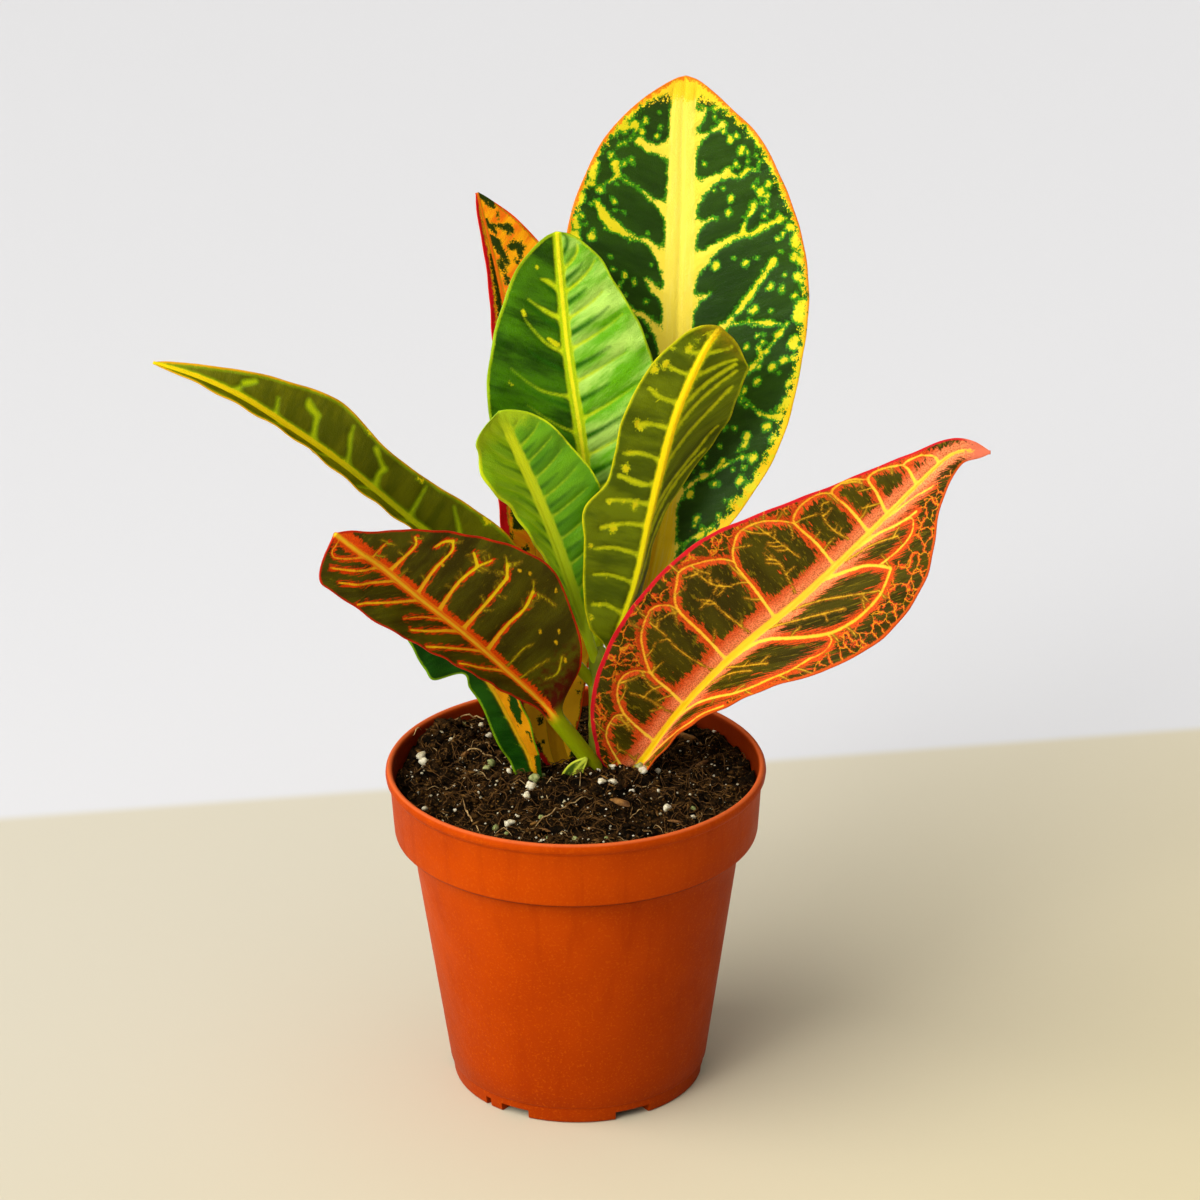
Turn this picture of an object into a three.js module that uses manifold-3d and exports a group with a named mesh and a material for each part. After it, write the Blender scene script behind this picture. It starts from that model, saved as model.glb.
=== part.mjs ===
// Potted croton: a thin nursery pot, its soil, one short stem and ten leaves.
// Millimetres, +Z up, origin at the middle of the pot's base, -Y is the front.
import * as THREE from 'three';
import { mergeVertices } from 'three/addons/utils/BufferGeometryUtils.js';
import Module from 'manifold-3d';

const wasm = await Module();
wasm.setup();

// ---------- driving dimensions ----------
const GAP = 0.3;                 // clearance between touching pieces
const RAD = Math.PI / 180;

// pot, radii and heights of its outside
const LIP_R = 51;
const POT_H = 91.2;
const BAND_TOP_R = 49.9;
const BAND_TOP_Z = 88;
const BAND_FOOT_R = 48.9;
const BAND_FOOT_Z = 72.3;
const BODY_TOP_R = 44.6;
const CREASE_R = 35.2;
const CREASE_Z = 5;
const BASE_R = 34.3;
const WALL = 1.2;
const FLOOR = 1.8;
const POT_SIDES = 60;
const SLOT_H = 2.6;              // drain slots round the foot of the wall
const SLOT_DEPTH = 9;
const SLOTS = [[-45, 3], [-30, 14], [25.5, 17], [85, 16], [145, 16], [-155, 16], [-95, 16]];

// soil
const SOIL_Z = 86;
const SOIL_RINGS = 10;
const SOIL_SIDES = 36;
const PERLITE_COUNT = 20;

// stem
const STEM_X = 6.4;
const STEM_Y = 9;
const STEM_FOOT_Z = 60;
const STEM_TOP_Z = 121;
const STEM_R = 3.1;
const ROOT_COUNT = 6;

// leaves
const BLADE = 0.8;               // thickness of a blade
const LEAF_ROOM = 0.55;          // clearance left round a leaf base in the soil
const ACROSS = [1, 0.72, 0.42, 0];   // columns of a half blade, from its margin to the rib
const MIN_STEPS = 7;
const STEP_LENGTH = 8;           // cross-sections along a blade, besides the least number
const END_CROWDING = 0.24;       // share of them drawn towards both ends of the blade
const MARGIN_MIN = 0.5;          // least half width, at the tip
const RIB_SHARE = 0.8;           // half width of the rib as a share of the petiole's radius
const RIB_DEPTH = 0.7;           // depth of the rib below the blade, likewise
const WAVE_SHIFT = 1.3;          // the two margins wave out of step, radians
const WAVE_FULL_WIDTH = 8;       // half width from which a margin waves fully
const RIB_TAPER = 0.72;          // how much the rib thins towards the tip

// Each leaf: rib = points along its midrib from the stem to the tip; petiole = length before the
// blade; face = the way its upper side looks, at the base and at the tip; left and right = half
// widths at even steps along the blade, seen from above with the tip away; fold = angle of each
// half above flat at base, middle and tip; curl = extra turn towards the margin; wave = height
// and number of waves at the margin; tip = part of the blade that rounds off its end.
const LEAVES = {
  leaf_tall: {
    rib: [[6, 10, 98], [13, 13.5, 118], [21, 19, 141], [26, 28, 170], [28, 38, 203], [29, 46, 231],
      [29.5, 50, 254], [30.5, 51, 266]],
    petiole: 26, radius: 1.9, face: [[-0.1, -1, 0.3], [-0.05, -1, 0.25]],
    left: [2, 9, 19, 26, 30, 31, 29.5, 22, 9], right: [2, 9, 21, 30, 34, 35, 31.5, 23, 11],
    fold: [[14, 8, 6], [14, 8, 6]], curl: [4, 4], wave: [0.5, 3], tip: 0.12,
    color: 0x1f4a14,
  },
  leaf_back: {
    rib: [[6, 9, 78], [-1, 8.5, 83], [-5, 9, 91], [-7, 13, 107], [-8, 19, 131], [-11, 26.5, 156],
      [-15, 35, 187], [-19, 41, 211], [-25, 46, 236]],
    petiole: 8, radius: 1.8, face: [[0.1, -1, 0.3], [0.35, -1, 0.2]],
    left: [2, 9, 10.5, 11, 10.5, 9, 6, 3, 1.5], right: [2, 8.5, 13, 17, 20, 22, 21, 14.5, 3],
    fold: [[12, 20, 20], [-20, 6, 6]], curl: [6, 6], wave: [0.5, 3], tip: 0.06,
    color: 0xb8741a,
  },
  leaf_mid: {
    rib: [[6, 9, 116], [6.2, 13.5, 130], [4.3, 15.5, 150], [2.5, 17, 174], [-0.9, 20, 198],
      [-2.7, 23, 216.5], [-3.8, 24, 232]],
    petiole: 14, radius: 1.6, face: [[-0.1, -1, 0.3], [0.1, -1, 0.2]],
    left: [1.8, 8, 15, 20, 22.7, 23.1, 19.5, 13.8, 7], right: [1.8, 8, 15, 20, 22.5, 22.5, 20, 13.8, 7.5],
    fold: [[16, 10, 6], [18, 14, 8]], curl: [5, 8], wave: [0.5, 3], tip: 0.09,
    color: 0x3f9a1c,
  },
  leaf_small: {
    rib: [[6, 8, 116], [1, 6.5, 133], [-4, 5.5, 150], [-9.5, 4, 166], [-14, 3, 177.5], [-19, 2, 190.5]],
    petiole: 8, radius: 1.4, face: [[-0.1, -1, 0.3], [0, -1, 0.4]],
    left: [1.6, 2.6, 3.6, 4.4, 5, 5.8, 7.8, 8.6, 9.7, 12.8, 13.8, 11.6, 13],
    right: [1.6, 4, 7.5, 12, 16, 16.1, 13.6, 11, 4],
    fold: [[45, 42, 36], [4, -7, -4]], curl: [5, 5], wave: [0.5, 4], tip: 0.06,
    color: 0x57a020,
  },
  leaf_olive: {
    rib: [[7, 8, 113], [11.5, 3, 127], [16.5, 3, 142], [20.5, 4.5, 161], [25.5, 7, 181.5], [29, 8.5, 192],
      [34.5, 9, 204.5], [38.6, 9, 210.6]],
    petiole: 9, radius: 1.5, face: [[-0.1, -1, 0.25], [-0.2, -1, 0.3]],
    left: [1.8, 9, 13, 15, 16.3, 17.9, 13.5, 13.2, 13.6, 12.4, 10.8, 7.6, 4.5],
    right: [1.8, 3, 4, 4.6, 4.8, 5.8, 8.5, 13.3, 16.5, 16, 14.1, 13, 12],
    fold: [[18, 14, 8], [-68, -70, -52, -15]], curl: [4, 4], wave: [0.4, 3], tip: 0.08,
    color: 0x5a6414,
  },
  leaf_long: {
    rib: [[6, 9, 109], [-4, 6, 122], [-19.5, 3, 140], [-40.5, 0, 159], [-60, -3, 178], [-75, -4, 190],
      [-85, -4, 197], [-95.5, -3, 202], [-107.5, -1, 205.5]],
    petiole: 30, radius: 1.6, face: [[-0.2, -0.7, 1], [0.1, -0.8, 0.9]],
    left: [1.8, 10, 13, 14, 13, 11, 8, 5, 0.8], right: [1.8, 12, 13, 11.5, 11, 13.3, 9.6, 4.5, 0.8],
    fold: [[55, 56, 45], [30, 30, 25]], curl: [4, 4], wave: [0.5, 3], tip: 0.03,
    color: 0x4c5412,
  },
  leaf_lower: {
    rib: [[6, 8, 84], [3.5, 4, 90], [-7, -1.5, 107], [-19.5, -8, 123], [-29.5, -15, 136], [-39.5, -22, 148],
      [-49, -29, 160], [-53.6, -33.5, 165.5], [-59.7, -37.5, 172.4]],
    petiole: 26, radius: 2.3, face: [[0.3, -1, 0.25], [0.2, -1, 0.4]],
    left: [1.8, 4.5, 7.8, 10.6, 11.9, 13.3, 14.1, 12.8, 12.5],
    right: [8, 19, 24.6, 28.2, 26.5, 22, 16.4, 8.1, 1.4],
    fold: [[50, 46, 42, 28, 0], [12, 10, 8]], curl: [5, 5], wave: [0.5, 3], tip: 0.05,
    color: 0x5e3212,
  },
  leaf_hero: {
    rib: [[7, 9, 76], [16.5, 5, 87], [28, 2, 105], [43.5, -1, 124], [59.5, -3, 139.5], [74.5, -5, 156],
      [90, -5, 173], [99, -4, 180.5], [108, -4, 180.5]],
    petiole: 6, radius: 2, face: [[0.1, -0.95, 0.3], [-0.2, -0.9, 0.45]],
    left: [7, 20, 27.5, 30, 28.5, 23, 15, 7, 1], right: [2, 7, 10, 14.5, 20, 23, 19, 7, 1],
    fold: [[12, 10, 8], [72, 62, 18, 8, 8]], curl: [5, 5], wave: [0.8, 3], tip: 0.03,
    color: 0xc0441c,
  },
  leaf_low: {
    rib: [[6, 8, 77], [1.5, 4, 80], [-0.8, 1.5, 84], [0, 0.8, 88.5], [3, 0.8, 92]],
    petiole: 7, radius: 0.9, face: [[-0.1, -1, 0.2], [-0.1, -1, 0.2]],
    left: [0.9, 2.5, 3.3, 3.5, 3.3, 2.8, 2.1, 1.3, 0.6], right: [0.9, 2.6, 3.6, 3.8, 3.4, 2.7, 2, 1.3, 0.6],
    fold: [[10, 8, 6], [10, 8, 6]], curl: [4, 4], wave: [0.1, 2], tip: 0.08,
    color: 0x2c5a1a,
  },
  leaf_droop: {
    rib: [[6, 9, 72], [-4, 4.5, 76], [-10, 2.5, 84], [-13, 2.5, 92.5], [-16, 2.5, 99], [-21, 3, 109.5],
      [-26, 4, 117], [-33, 5, 125], [-41, 6, 131.5], [-46, 7, 134]],
    petiole: 18, radius: 1.5, face: [[-0.5, -0.9, 0.3], [-0.2, -0.9, 0.4]],
    left: [1.6, 3.7, 5.2, 5.5, 5.9, 5.9, 5.5, 5.1, 5, 5, 4, 10.8, 10.6, 9.7, 7.9, 6.6, 4.6],
    right: [1.6, 5, 7, 9, 10, 11, 11, 8, 3],
    fold: [[10, 10, 10], [40, 35, 30]], curl: [5, 5], wave: [0.3, 3], tip: 0.12,
    color: 0x24501a,
  },
};

// ---------- small helpers ----------
function seeded(seed) {
  let state = seed;
  return () => {
    state = (state * 1664525 + 1013904223) % 4294967296;
    return state / 4294967296;
  };
}

function toManifold(geometry) {
  const bare = geometry.clone();
  bare.deleteAttribute('normal');
  bare.deleteAttribute('uv');
  const merged = mergeVertices(bare, 1e-4);
  return new wasm.Manifold(new wasm.Mesh({
    numProp: 3,
    vertProperties: new Float32Array(merged.attributes.position.array),
    triVerts: new Uint32Array(merged.index.array),
  }));
}

function toGeometry(solid) {
  const mesh = solid.getMesh();
  const geometry = new THREE.BufferGeometry();
  geometry.setAttribute('position', new THREE.BufferAttribute(new Float32Array(mesh.vertProperties), 3));
  geometry.setIndex(new THREE.BufferAttribute(new Uint32Array(mesh.triVerts), 1));
  geometry.computeVertexNormals();
  return geometry;
}

function latheUp(points, sides) {
  // a lathe about Z from [radius, height] pairs
  const geometry = new THREE.LatheGeometry(points.map(([r, z]) => new THREE.Vector2(r, z)), sides);
  return geometry.rotateX(Math.PI / 2);
}

// smooth value at u in 0..1 from evenly spaced values
function valueAlong(values, u) {
  const spot = Math.min(Math.max(u, 0), 1) * (values.length - 1);
  const i = Math.min(Math.floor(spot), values.length - 2);
  const w = spot - i;
  const before = i > 0 ? values[i - 1] : 2 * values[0] - values[1];
  const after = i < values.length - 2 ? values[i + 2] : 2 * values[i + 1] - values[i];
  const t0 = (values[i + 1] - before) / 2;
  const t1 = (after - values[i]) / 2;
  const square = (-3 * values[i] + 3 * values[i + 1] - 2 * t0 - t1) * w * w;
  const cube = (2 * values[i] - 2 * values[i + 1] + t0 + t1) * w * w * w;
  return Math.max(values[i] + t0 * w + square + cube, 0);
}

function evenMix(values, u) {
  const spot = Math.min(Math.max(u, 0), 1) * (values.length - 1);
  const i = Math.min(Math.floor(spot), values.length - 2);
  return values[i] + (values[i + 1] - values[i]) * (spot - i);
}

// a closed sheet from matching grids of upper and lower points, split alike on both faces
function sheetGeometry(upper, lower) {
  const rows = upper.length;
  const cols = upper[0].length;
  const positions = [];
  for (const grid of [upper, lower]) {
    for (const row of grid) {
      for (const p of row) positions.push(p.x, p.y, p.z);
    }
  }
  const top = (i, j) => i * cols + j;
  const low = (i, j) => rows * cols + i * cols + j;
  const faces = [];
  for (let i = 0; i < rows - 1; i += 1) {
    for (let j = 0; j < cols - 1; j += 1) {
      faces.push(top(i, j), top(i, j + 1), top(i + 1, j + 1));
      faces.push(top(i, j), top(i + 1, j + 1), top(i + 1, j));
      faces.push(low(i, j), low(i + 1, j + 1), low(i, j + 1));
      faces.push(low(i, j), low(i + 1, j), low(i + 1, j + 1));
    }
    faces.push(top(i, 0), top(i + 1, 0), low(i + 1, 0));
    faces.push(top(i, 0), low(i + 1, 0), low(i, 0));
    faces.push(top(i, cols - 1), low(i + 1, cols - 1), top(i + 1, cols - 1));
    faces.push(top(i, cols - 1), low(i, cols - 1), low(i + 1, cols - 1));
  }
  for (let j = 0; j < cols - 1; j += 1) {
    faces.push(top(0, j), low(0, j + 1), top(0, j + 1));
    faces.push(top(0, j), low(0, j), low(0, j + 1));
    faces.push(top(rows - 1, j), top(rows - 1, j + 1), low(rows - 1, j + 1));
    faces.push(top(rows - 1, j), low(rows - 1, j + 1), low(rows - 1, j));
  }
  const geometry = new THREE.BufferGeometry();
  geometry.setAttribute('position', new THREE.Float32BufferAttribute(positions, 3));
  geometry.setIndex(faces);
  return geometry;
}

// ---------- leaves ----------
function leafGeometry(leaf, grow = 0) {
  const ribPoints = leaf.rib.map((p) => new THREE.Vector3(...p));
  const curve = new THREE.CatmullRomCurve3(ribPoints, false, 'catmullrom', 0.5);
  curve.arcLengthDivisions = 400;
  const length = curve.getLength();
  const blade = length - leaf.petiole;
  const steps = Math.round(MIN_STEPS + blade / STEP_LENGTH);
  const faceBase = new THREE.Vector3(...leaf.face[0]);
  const faceTip = new THREE.Vector3(...leaf.face[1]);
  const places = [0, leaf.petiole / 2];
  for (let k = 0; k <= steps; k += 1) places.push(leaf.petiole + blade * crowdedEnds(k / steps));
  const upper = [];
  const lower = [];
  for (const s of places) {
    const u = Math.max((s - leaf.petiole) / blade, 0);
    const centre = curve.getPointAt(Math.min(s / length, 1));
    const along = curve.getTangentAt(Math.min(s / length, 1));
    const normal = faceBase.clone().lerp(faceTip, s / length);
    normal.addScaledVector(along, -normal.dot(along)).normalize();
    const aside = new THREE.Vector3().crossVectors(normal, along);
    const rows = leafSection(leaf, { u, s, blade, centre, normal, aside, grow });
    upper.push(rows.upper);
    lower.push(rows.lower);
  }
  return sheetGeometry(upper, lower);
}

// even steps in 0..1, drawn closer together at both ends
function crowdedEnds(k) {
  return END_CROWDING * (1 - Math.cos(k * Math.PI)) / 2 + (1 - END_CROWDING) * k;
}

// the part of its width that a blade keeps at u, where its end is rounded off
function tipShare(leaf, u) {
  const into = Math.max((u - 1 + leaf.tip) / leaf.tip, 0);
  return Math.sqrt(Math.max(1 - into * into, 0));
}

// one cross-section: a round petiole that opens into a folded blade with a rib below
function leafSection(leaf, { u, s, blade, centre, normal, aside, grow }) {
  const open = THREE.MathUtils.smoothstep(s, leaf.petiole - 2, leaf.petiole + 7);
  const radius = leaf.radius * (1 - RIB_TAPER * u) + grow;
  const columns = [...ACROSS.map((t) => [1, t]), ...[...ACROSS].reverse().map((t) => [-1, t])];
  const upper = [];
  const lower = [];
  columns.forEach(([side, t], index) => {
    const { spot, skin } = bladeSpot(leaf, { u, t, side, radius, centre, normal, aside, grow });
    const ribDepth = t === 0 ? radius * RIB_DEPTH : 0;
    const flatTop = spot.clone().addScaledVector(skin, BLADE / 2 + grow);
    const flatLow = spot.clone().addScaledVector(skin, -BLADE / 2 - ribDepth - grow);
    const angle = Math.PI * (index + 0.5) / columns.length;
    const round = (sign) => centre.clone().addScaledVector(aside, radius * Math.cos(angle))
      .addScaledVector(normal, sign * radius * Math.sin(angle));
    upper.push(round(1).lerp(flatTop, open));
    lower.push(round(-1).lerp(flatLow, open));
  });
  return { upper, lower };
}

// a point in the middle of the blade's thickness, and the way its skin faces there
function bladeSpot(leaf, { u, t, side, radius, centre, normal, aside, grow }) {
  const pick = side > 0 ? 0 : 1;
  const halfWidth = valueAlong(side > 0 ? leaf.left : leaf.right, u) * tipShare(leaf, u);
  const width = Math.max(halfWidth, MARGIN_MIN) + grow;
  const ribEdge = Math.min(radius * RIB_SHARE, width / 2);
  const reach = ribEdge + (width - ribEdge) * t;
  const share = reach / width;
  const fold = evenMix(leaf.fold[pick], u) * RAD;
  const turn = leaf.curl[pick] * RAD * share;
  const phase = 2 * Math.PI * leaf.wave[1] * u + side * WAVE_SHIFT;
  const wave = leaf.wave[0] * Math.min(width / WAVE_FULL_WIDTH, 1) * share * share * Math.sin(phase);
  const skin = normal.clone().multiplyScalar(Math.cos(fold + turn))
    .addScaledVector(aside, -side * Math.sin(fold + turn));
  const spot = centre.clone().addScaledVector(aside, side * reach * Math.cos(fold + turn / 2))
    .addScaledVector(normal, reach * Math.sin(fold + turn / 2))
    .addScaledVector(skin, wave);
  return { spot, skin };
}

// ---------- stem with its roots ----------
function stemGeometry(grow) {
  const r = STEM_R + grow;
  const profile = [[0, STEM_FOOT_Z - grow], [r * 0.7, STEM_FOOT_Z - grow], [r * 1.05, STEM_FOOT_Z + 8],
    [r * 1.12, 78], [r, 83], [r, 92], [r * 1.08, 98], [r * 0.94, 102], [r * 1.04, 109], [r * 0.88, 113],
    [r * 0.95, 117], [r * 0.5, STEM_TOP_Z - 1 + grow], [0, STEM_TOP_Z + grow]];
  return latheUp(profile, 12).translate(STEM_X, STEM_Y, 0);
}

function rootGeometry(index, grow) {
  const random = seeded(40 + index);
  const heading = ((index + random() * 0.5) / ROOT_COUNT) * 2 * Math.PI;
  const reach = 14 + 10 * random();
  const drop = 16 + 12 * random();
  const topZ = STEM_FOOT_Z + 5;
  const points = [0, 0.35, 0.7, 1 + grow * 0.06].map((k) => new THREE.Vector3(
    STEM_X + Math.cos(heading + 0.4 * k) * reach * k,
    STEM_Y + Math.sin(heading + 0.4 * k) * reach * k,
    topZ - drop * k * k,
  ));
  const r = 0.9 + grow;
  const section = new THREE.Shape([0, 1, 2, 3].map((k) => new THREE.Vector2(
    r * Math.cos((k / 4) * 2 * Math.PI),
    r * Math.sin((k / 4) * 2 * Math.PI),
  )));
  return new THREE.ExtrudeGeometry(section, {
    extrudePath: new THREE.CatmullRomCurve3(points), steps: 5, bevelEnabled: false,
  });
}

function stemSolid(grow = 0) {
  let solid = toManifold(stemGeometry(grow));
  for (let k = 0; k < ROOT_COUNT; k += 1) solid = solid.add(toManifold(rootGeometry(k, grow)));
  return solid;
}

// ---------- pot ----------
function innerRadius(z) {
  // inside of the wall below and above the step
  const bodySlope = (BODY_TOP_R - CREASE_R) / (BAND_FOOT_Z - CREASE_Z);
  const bandSlope = (BAND_TOP_R - BAND_FOOT_R) / (BAND_TOP_Z - BAND_FOOT_Z);
  return z < BAND_FOOT_Z + WALL
    ? CREASE_R + (z - CREASE_Z) * bodySlope - WALL
    : BAND_FOOT_R + (z - BAND_FOOT_Z) * bandSlope - WALL;
}

function potSolid() {
  const stepZ = BAND_FOOT_Z + WALL;
  const profile = [
    [0, 0], [BASE_R - 0.5, 0], [BASE_R, 0.5], [BASE_R + 0.4, CREASE_Z - 0.5], [CREASE_R, CREASE_Z],
    [BODY_TOP_R, BAND_FOOT_Z], [BAND_FOOT_R - 0.5, BAND_FOOT_Z], [BAND_FOOT_R, BAND_FOOT_Z + 0.5],
    [BAND_TOP_R, BAND_TOP_Z], [LIP_R - 0.3, BAND_TOP_Z + 0.6], [LIP_R, POT_H - 1.6],
    [LIP_R - 0.3, POT_H - 0.4], [LIP_R - 0.9, POT_H], [LIP_R - 1.7, POT_H - 0.3],
    [innerRadius(POT_H - 2), POT_H - 2], [innerRadius(stepZ + 0.01), stepZ + 0.01],
    [innerRadius(stepZ - 0.01), stepZ - 0.01], [innerRadius(FLOOR + 0.8), FLOOR + 0.8],
    [innerRadius(FLOOR) - 0.8, FLOOR], [0, FLOOR],
  ];
  let solid = toManifold(latheUp(profile, POT_SIDES));
  for (const [heading, width] of SLOTS) solid = solid.subtract(toManifold(slotGeometry(heading, width)));
  return solid;
}

function slotGeometry(heading, width) {
  // a wedge of the foot, heading and width in degrees from the front towards +X
  const inner = BASE_R - SLOT_DEPTH;
  const outer = BASE_R + 4;
  const shape = new THREE.Shape();
  const from = (heading - 90 - width / 2) * RAD;
  const to = (heading - 90 + width / 2) * RAD;
  shape.absarc(0, 0, outer, from, to, false);
  shape.absarc(0, 0, inner, to, from, true);
  shape.closePath();
  const depth = SLOT_H + 1;
  const geometry = new THREE.ExtrudeGeometry(shape, { depth, bevelEnabled: false, curveSegments: 2 });
  return geometry.translate(0, 0, SLOT_H - depth);
}

// ---------- soil ----------
function soilHeight(x, y) {
  // crumbs from a few crossing waves, a mound round the stem, a clump at the back left
  const crumbs = 0.7 * Math.sin(0.41 * x + 1.3) * Math.cos(0.37 * y - 0.6)
    + 0.5 * Math.sin(0.83 * x - 0.52 * y) + 0.35 * Math.cos(0.61 * x + 1.07 * y + 2);
  const mound = 2 * Math.exp(-((x - STEM_X) ** 2 + (y - STEM_Y) ** 2) / 500);
  const clump = 4.2 * Math.exp(-((x + 36) ** 2 + (y - 24) ** 2) / 130);
  return SOIL_Z + crumbs + mound + clump;
}

function soilBody() {
  const stepZ = BAND_FOOT_Z + WALL;
  const low = FLOOR + GAP;
  const sides = [
    [innerRadius(low) - 1.2 - GAP, low], [innerRadius(low + 1.2) - GAP, low + 1.2],
    [innerRadius(stepZ - 0.02) - GAP, stepZ + GAP],
    [innerRadius(stepZ + GAP) - GAP, stepZ + GAP],
  ];
  const rings = sides.map(([r, z]) => ringPoints(r, () => z));
  const rimR = innerRadius(SOIL_Z - 1) - GAP;
  for (let k = 0; k < SOIL_RINGS; k += 1) rings.push(ringPoints(rimR * (1 - k / SOIL_RINGS), soilHeight));
  return ringStack(rings, low, soilHeight(0, 0));
}

function ringPoints(radius, height) {
  const points = [];
  for (let k = 0; k < SOIL_SIDES; k += 1) {
    const a = (k / SOIL_SIDES) * 2 * Math.PI;
    const x = radius * Math.cos(a);
    const y = radius * Math.sin(a);
    points.push([x, y, height(x, y)]);
  }
  return points;
}

function ringStack(rings, lowZ, topZ) {
  const positions = rings.flat(2);
  const faces = [];
  const n = SOIL_SIDES;
  for (let i = 0; i < rings.length - 1; i += 1) {
    for (let k = 0; k < n; k += 1) {
      const a = i * n + k;
      const b = i * n + ((k + 1) % n);
      faces.push(a, b, b + n, a, b + n, a + n);
    }
  }
  const foot = positions.length / 3;
  positions.push(0, 0, lowZ, 0, 0, topZ);
  const last = (rings.length - 1) * n;
  for (let k = 0; k < n; k += 1) {
    const next = (k + 1) % n;
    faces.push(foot, next, k, foot + 1, last + k, last + next);
  }
  const geometry = new THREE.BufferGeometry();
  geometry.setAttribute('position', new THREE.Float32BufferAttribute(positions, 3));
  geometry.setIndex(faces);
  return geometry;
}

function soilSolid(others) {
  const random = seeded(7);
  let solid = toManifold(soilBody());
  for (let k = 0; k < PERLITE_COUNT; k += 1) {
    const reach = 43 * Math.sqrt(random());
    const a = random() * 2 * Math.PI;
    const x = reach * Math.cos(a);
    const y = reach * Math.sin(a);
    const size = 1.1 + 0.9 * random();
    const grain = new THREE.IcosahedronGeometry(size, 0).rotateX(random() * 3).rotateY(random() * 3);
    grain.translate(x, y, soilHeight(x, y) + 0.15 * size);
    solid = solid.add(toManifold(grain));
  }
  for (const other of others) solid = solid.subtract(other);
  return largest(solid);
}

// the biggest piece of a solid, so that a loose crumb is dropped
function largest(solid) {
  return solid.decompose().sort((a, b) => b.volume() - a.volume())[0];
}

// ---------- assembly ----------
const croton = new THREE.Group();

function addPiece(name, solid, color, roughness) {
  const material = new THREE.MeshStandardMaterial({ color, roughness, metalness: 0 });
  const mesh = new THREE.Mesh(toGeometry(solid), material);
  mesh.name = name;
  croton.add(mesh);
}

const stemRoom = stemSolid(GAP);
const leafRooms = [];
addPiece('pot', potSolid(), 0xa8401c, 0.5);
addPiece('stem', stemSolid(), 0x8a9a34, 0.6);
for (const [name, leaf] of Object.entries(LEAVES)) {
  const solid = largest(toManifold(leafGeometry(leaf)).subtract(stemRoom));
  leafRooms.push(toManifold(leafGeometry(leaf, LEAF_ROOM)));
  addPiece(name, solid, leaf.color, 0.35);
}
addPiece('soil', soilSolid([stemRoom, ...leafRooms]), 0x2a1d14, 0.95);

export default croton;
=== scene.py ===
"""Looks of a potted croton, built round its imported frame. Metres, +Z up, -Y is the front."""
import math
from random import Random
from types import SimpleNamespace

import bmesh
import bpy
import numpy as np
from mathutils import Matrix, Vector, noise


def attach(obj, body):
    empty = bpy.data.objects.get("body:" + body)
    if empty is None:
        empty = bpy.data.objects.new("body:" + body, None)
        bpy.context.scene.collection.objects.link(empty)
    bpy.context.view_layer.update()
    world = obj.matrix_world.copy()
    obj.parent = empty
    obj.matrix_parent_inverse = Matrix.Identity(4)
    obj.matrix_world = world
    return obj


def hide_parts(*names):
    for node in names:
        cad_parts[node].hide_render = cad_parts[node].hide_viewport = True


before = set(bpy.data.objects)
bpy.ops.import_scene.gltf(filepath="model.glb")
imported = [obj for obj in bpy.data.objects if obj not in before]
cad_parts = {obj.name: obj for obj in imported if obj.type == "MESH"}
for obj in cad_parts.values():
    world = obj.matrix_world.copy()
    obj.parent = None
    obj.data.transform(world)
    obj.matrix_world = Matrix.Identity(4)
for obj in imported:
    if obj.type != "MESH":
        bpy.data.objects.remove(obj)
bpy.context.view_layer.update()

MM = 0.001

# ---------- driving dimensions, millimetres ----------
LIP_R = 51.0
POT_H = 91.2
BAND_TOP_R, BAND_TOP_Z = 49.9, 88.0
BAND_FOOT_R, BAND_FOOT_Z = 48.9, 72.3
BODY_TOP_R = 44.6
CREASE_R, CREASE_Z = 35.2, 5.0
BASE_R = 34.3
WALL = 1.2
FLOOR = 1.8
STEP_Z = BAND_FOOT_Z + WALL          # where the inside widens, behind the band
SHADE_R = 49.2                       # the wall is shaded within this radius,
SHADE_FOOT_Z, SHADE_FULL_Z = 84.0, 85.5   # from the first height up, and in full from the second
POT_SIDES = 240
SLOT_H = 2.6
SLOT_DEPTH = 9.0
SLOTS = [(-45, 3), (-30, 14), (25.5, 17), (85, 16), (145, 16), (-155, 16), (-95, 16)]

SOIL_Z = 86.0
SOIL_GAP = 0.3
BED_SIDES, BED_RINGS = 220, 70
CLUMP_X, CLUMP_Y = -36, 24      # the heap of crumbs and fibre at the rear left
CLUMP_LIMIT_R = 46.5            # its crumbs stay within this radius
STEM_X, STEM_Y = 6.4, 9.0
STEM_R = 3.1
STEM_FOOT_Z, STEM_TOP_Z = 60.0, 121.0
STEM_SWELLINGS = [(98, 0.18, 0.9), (109, 0.15, 0.8), (90, 0.2, 0.8)]   # height, how far out, half length

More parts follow.
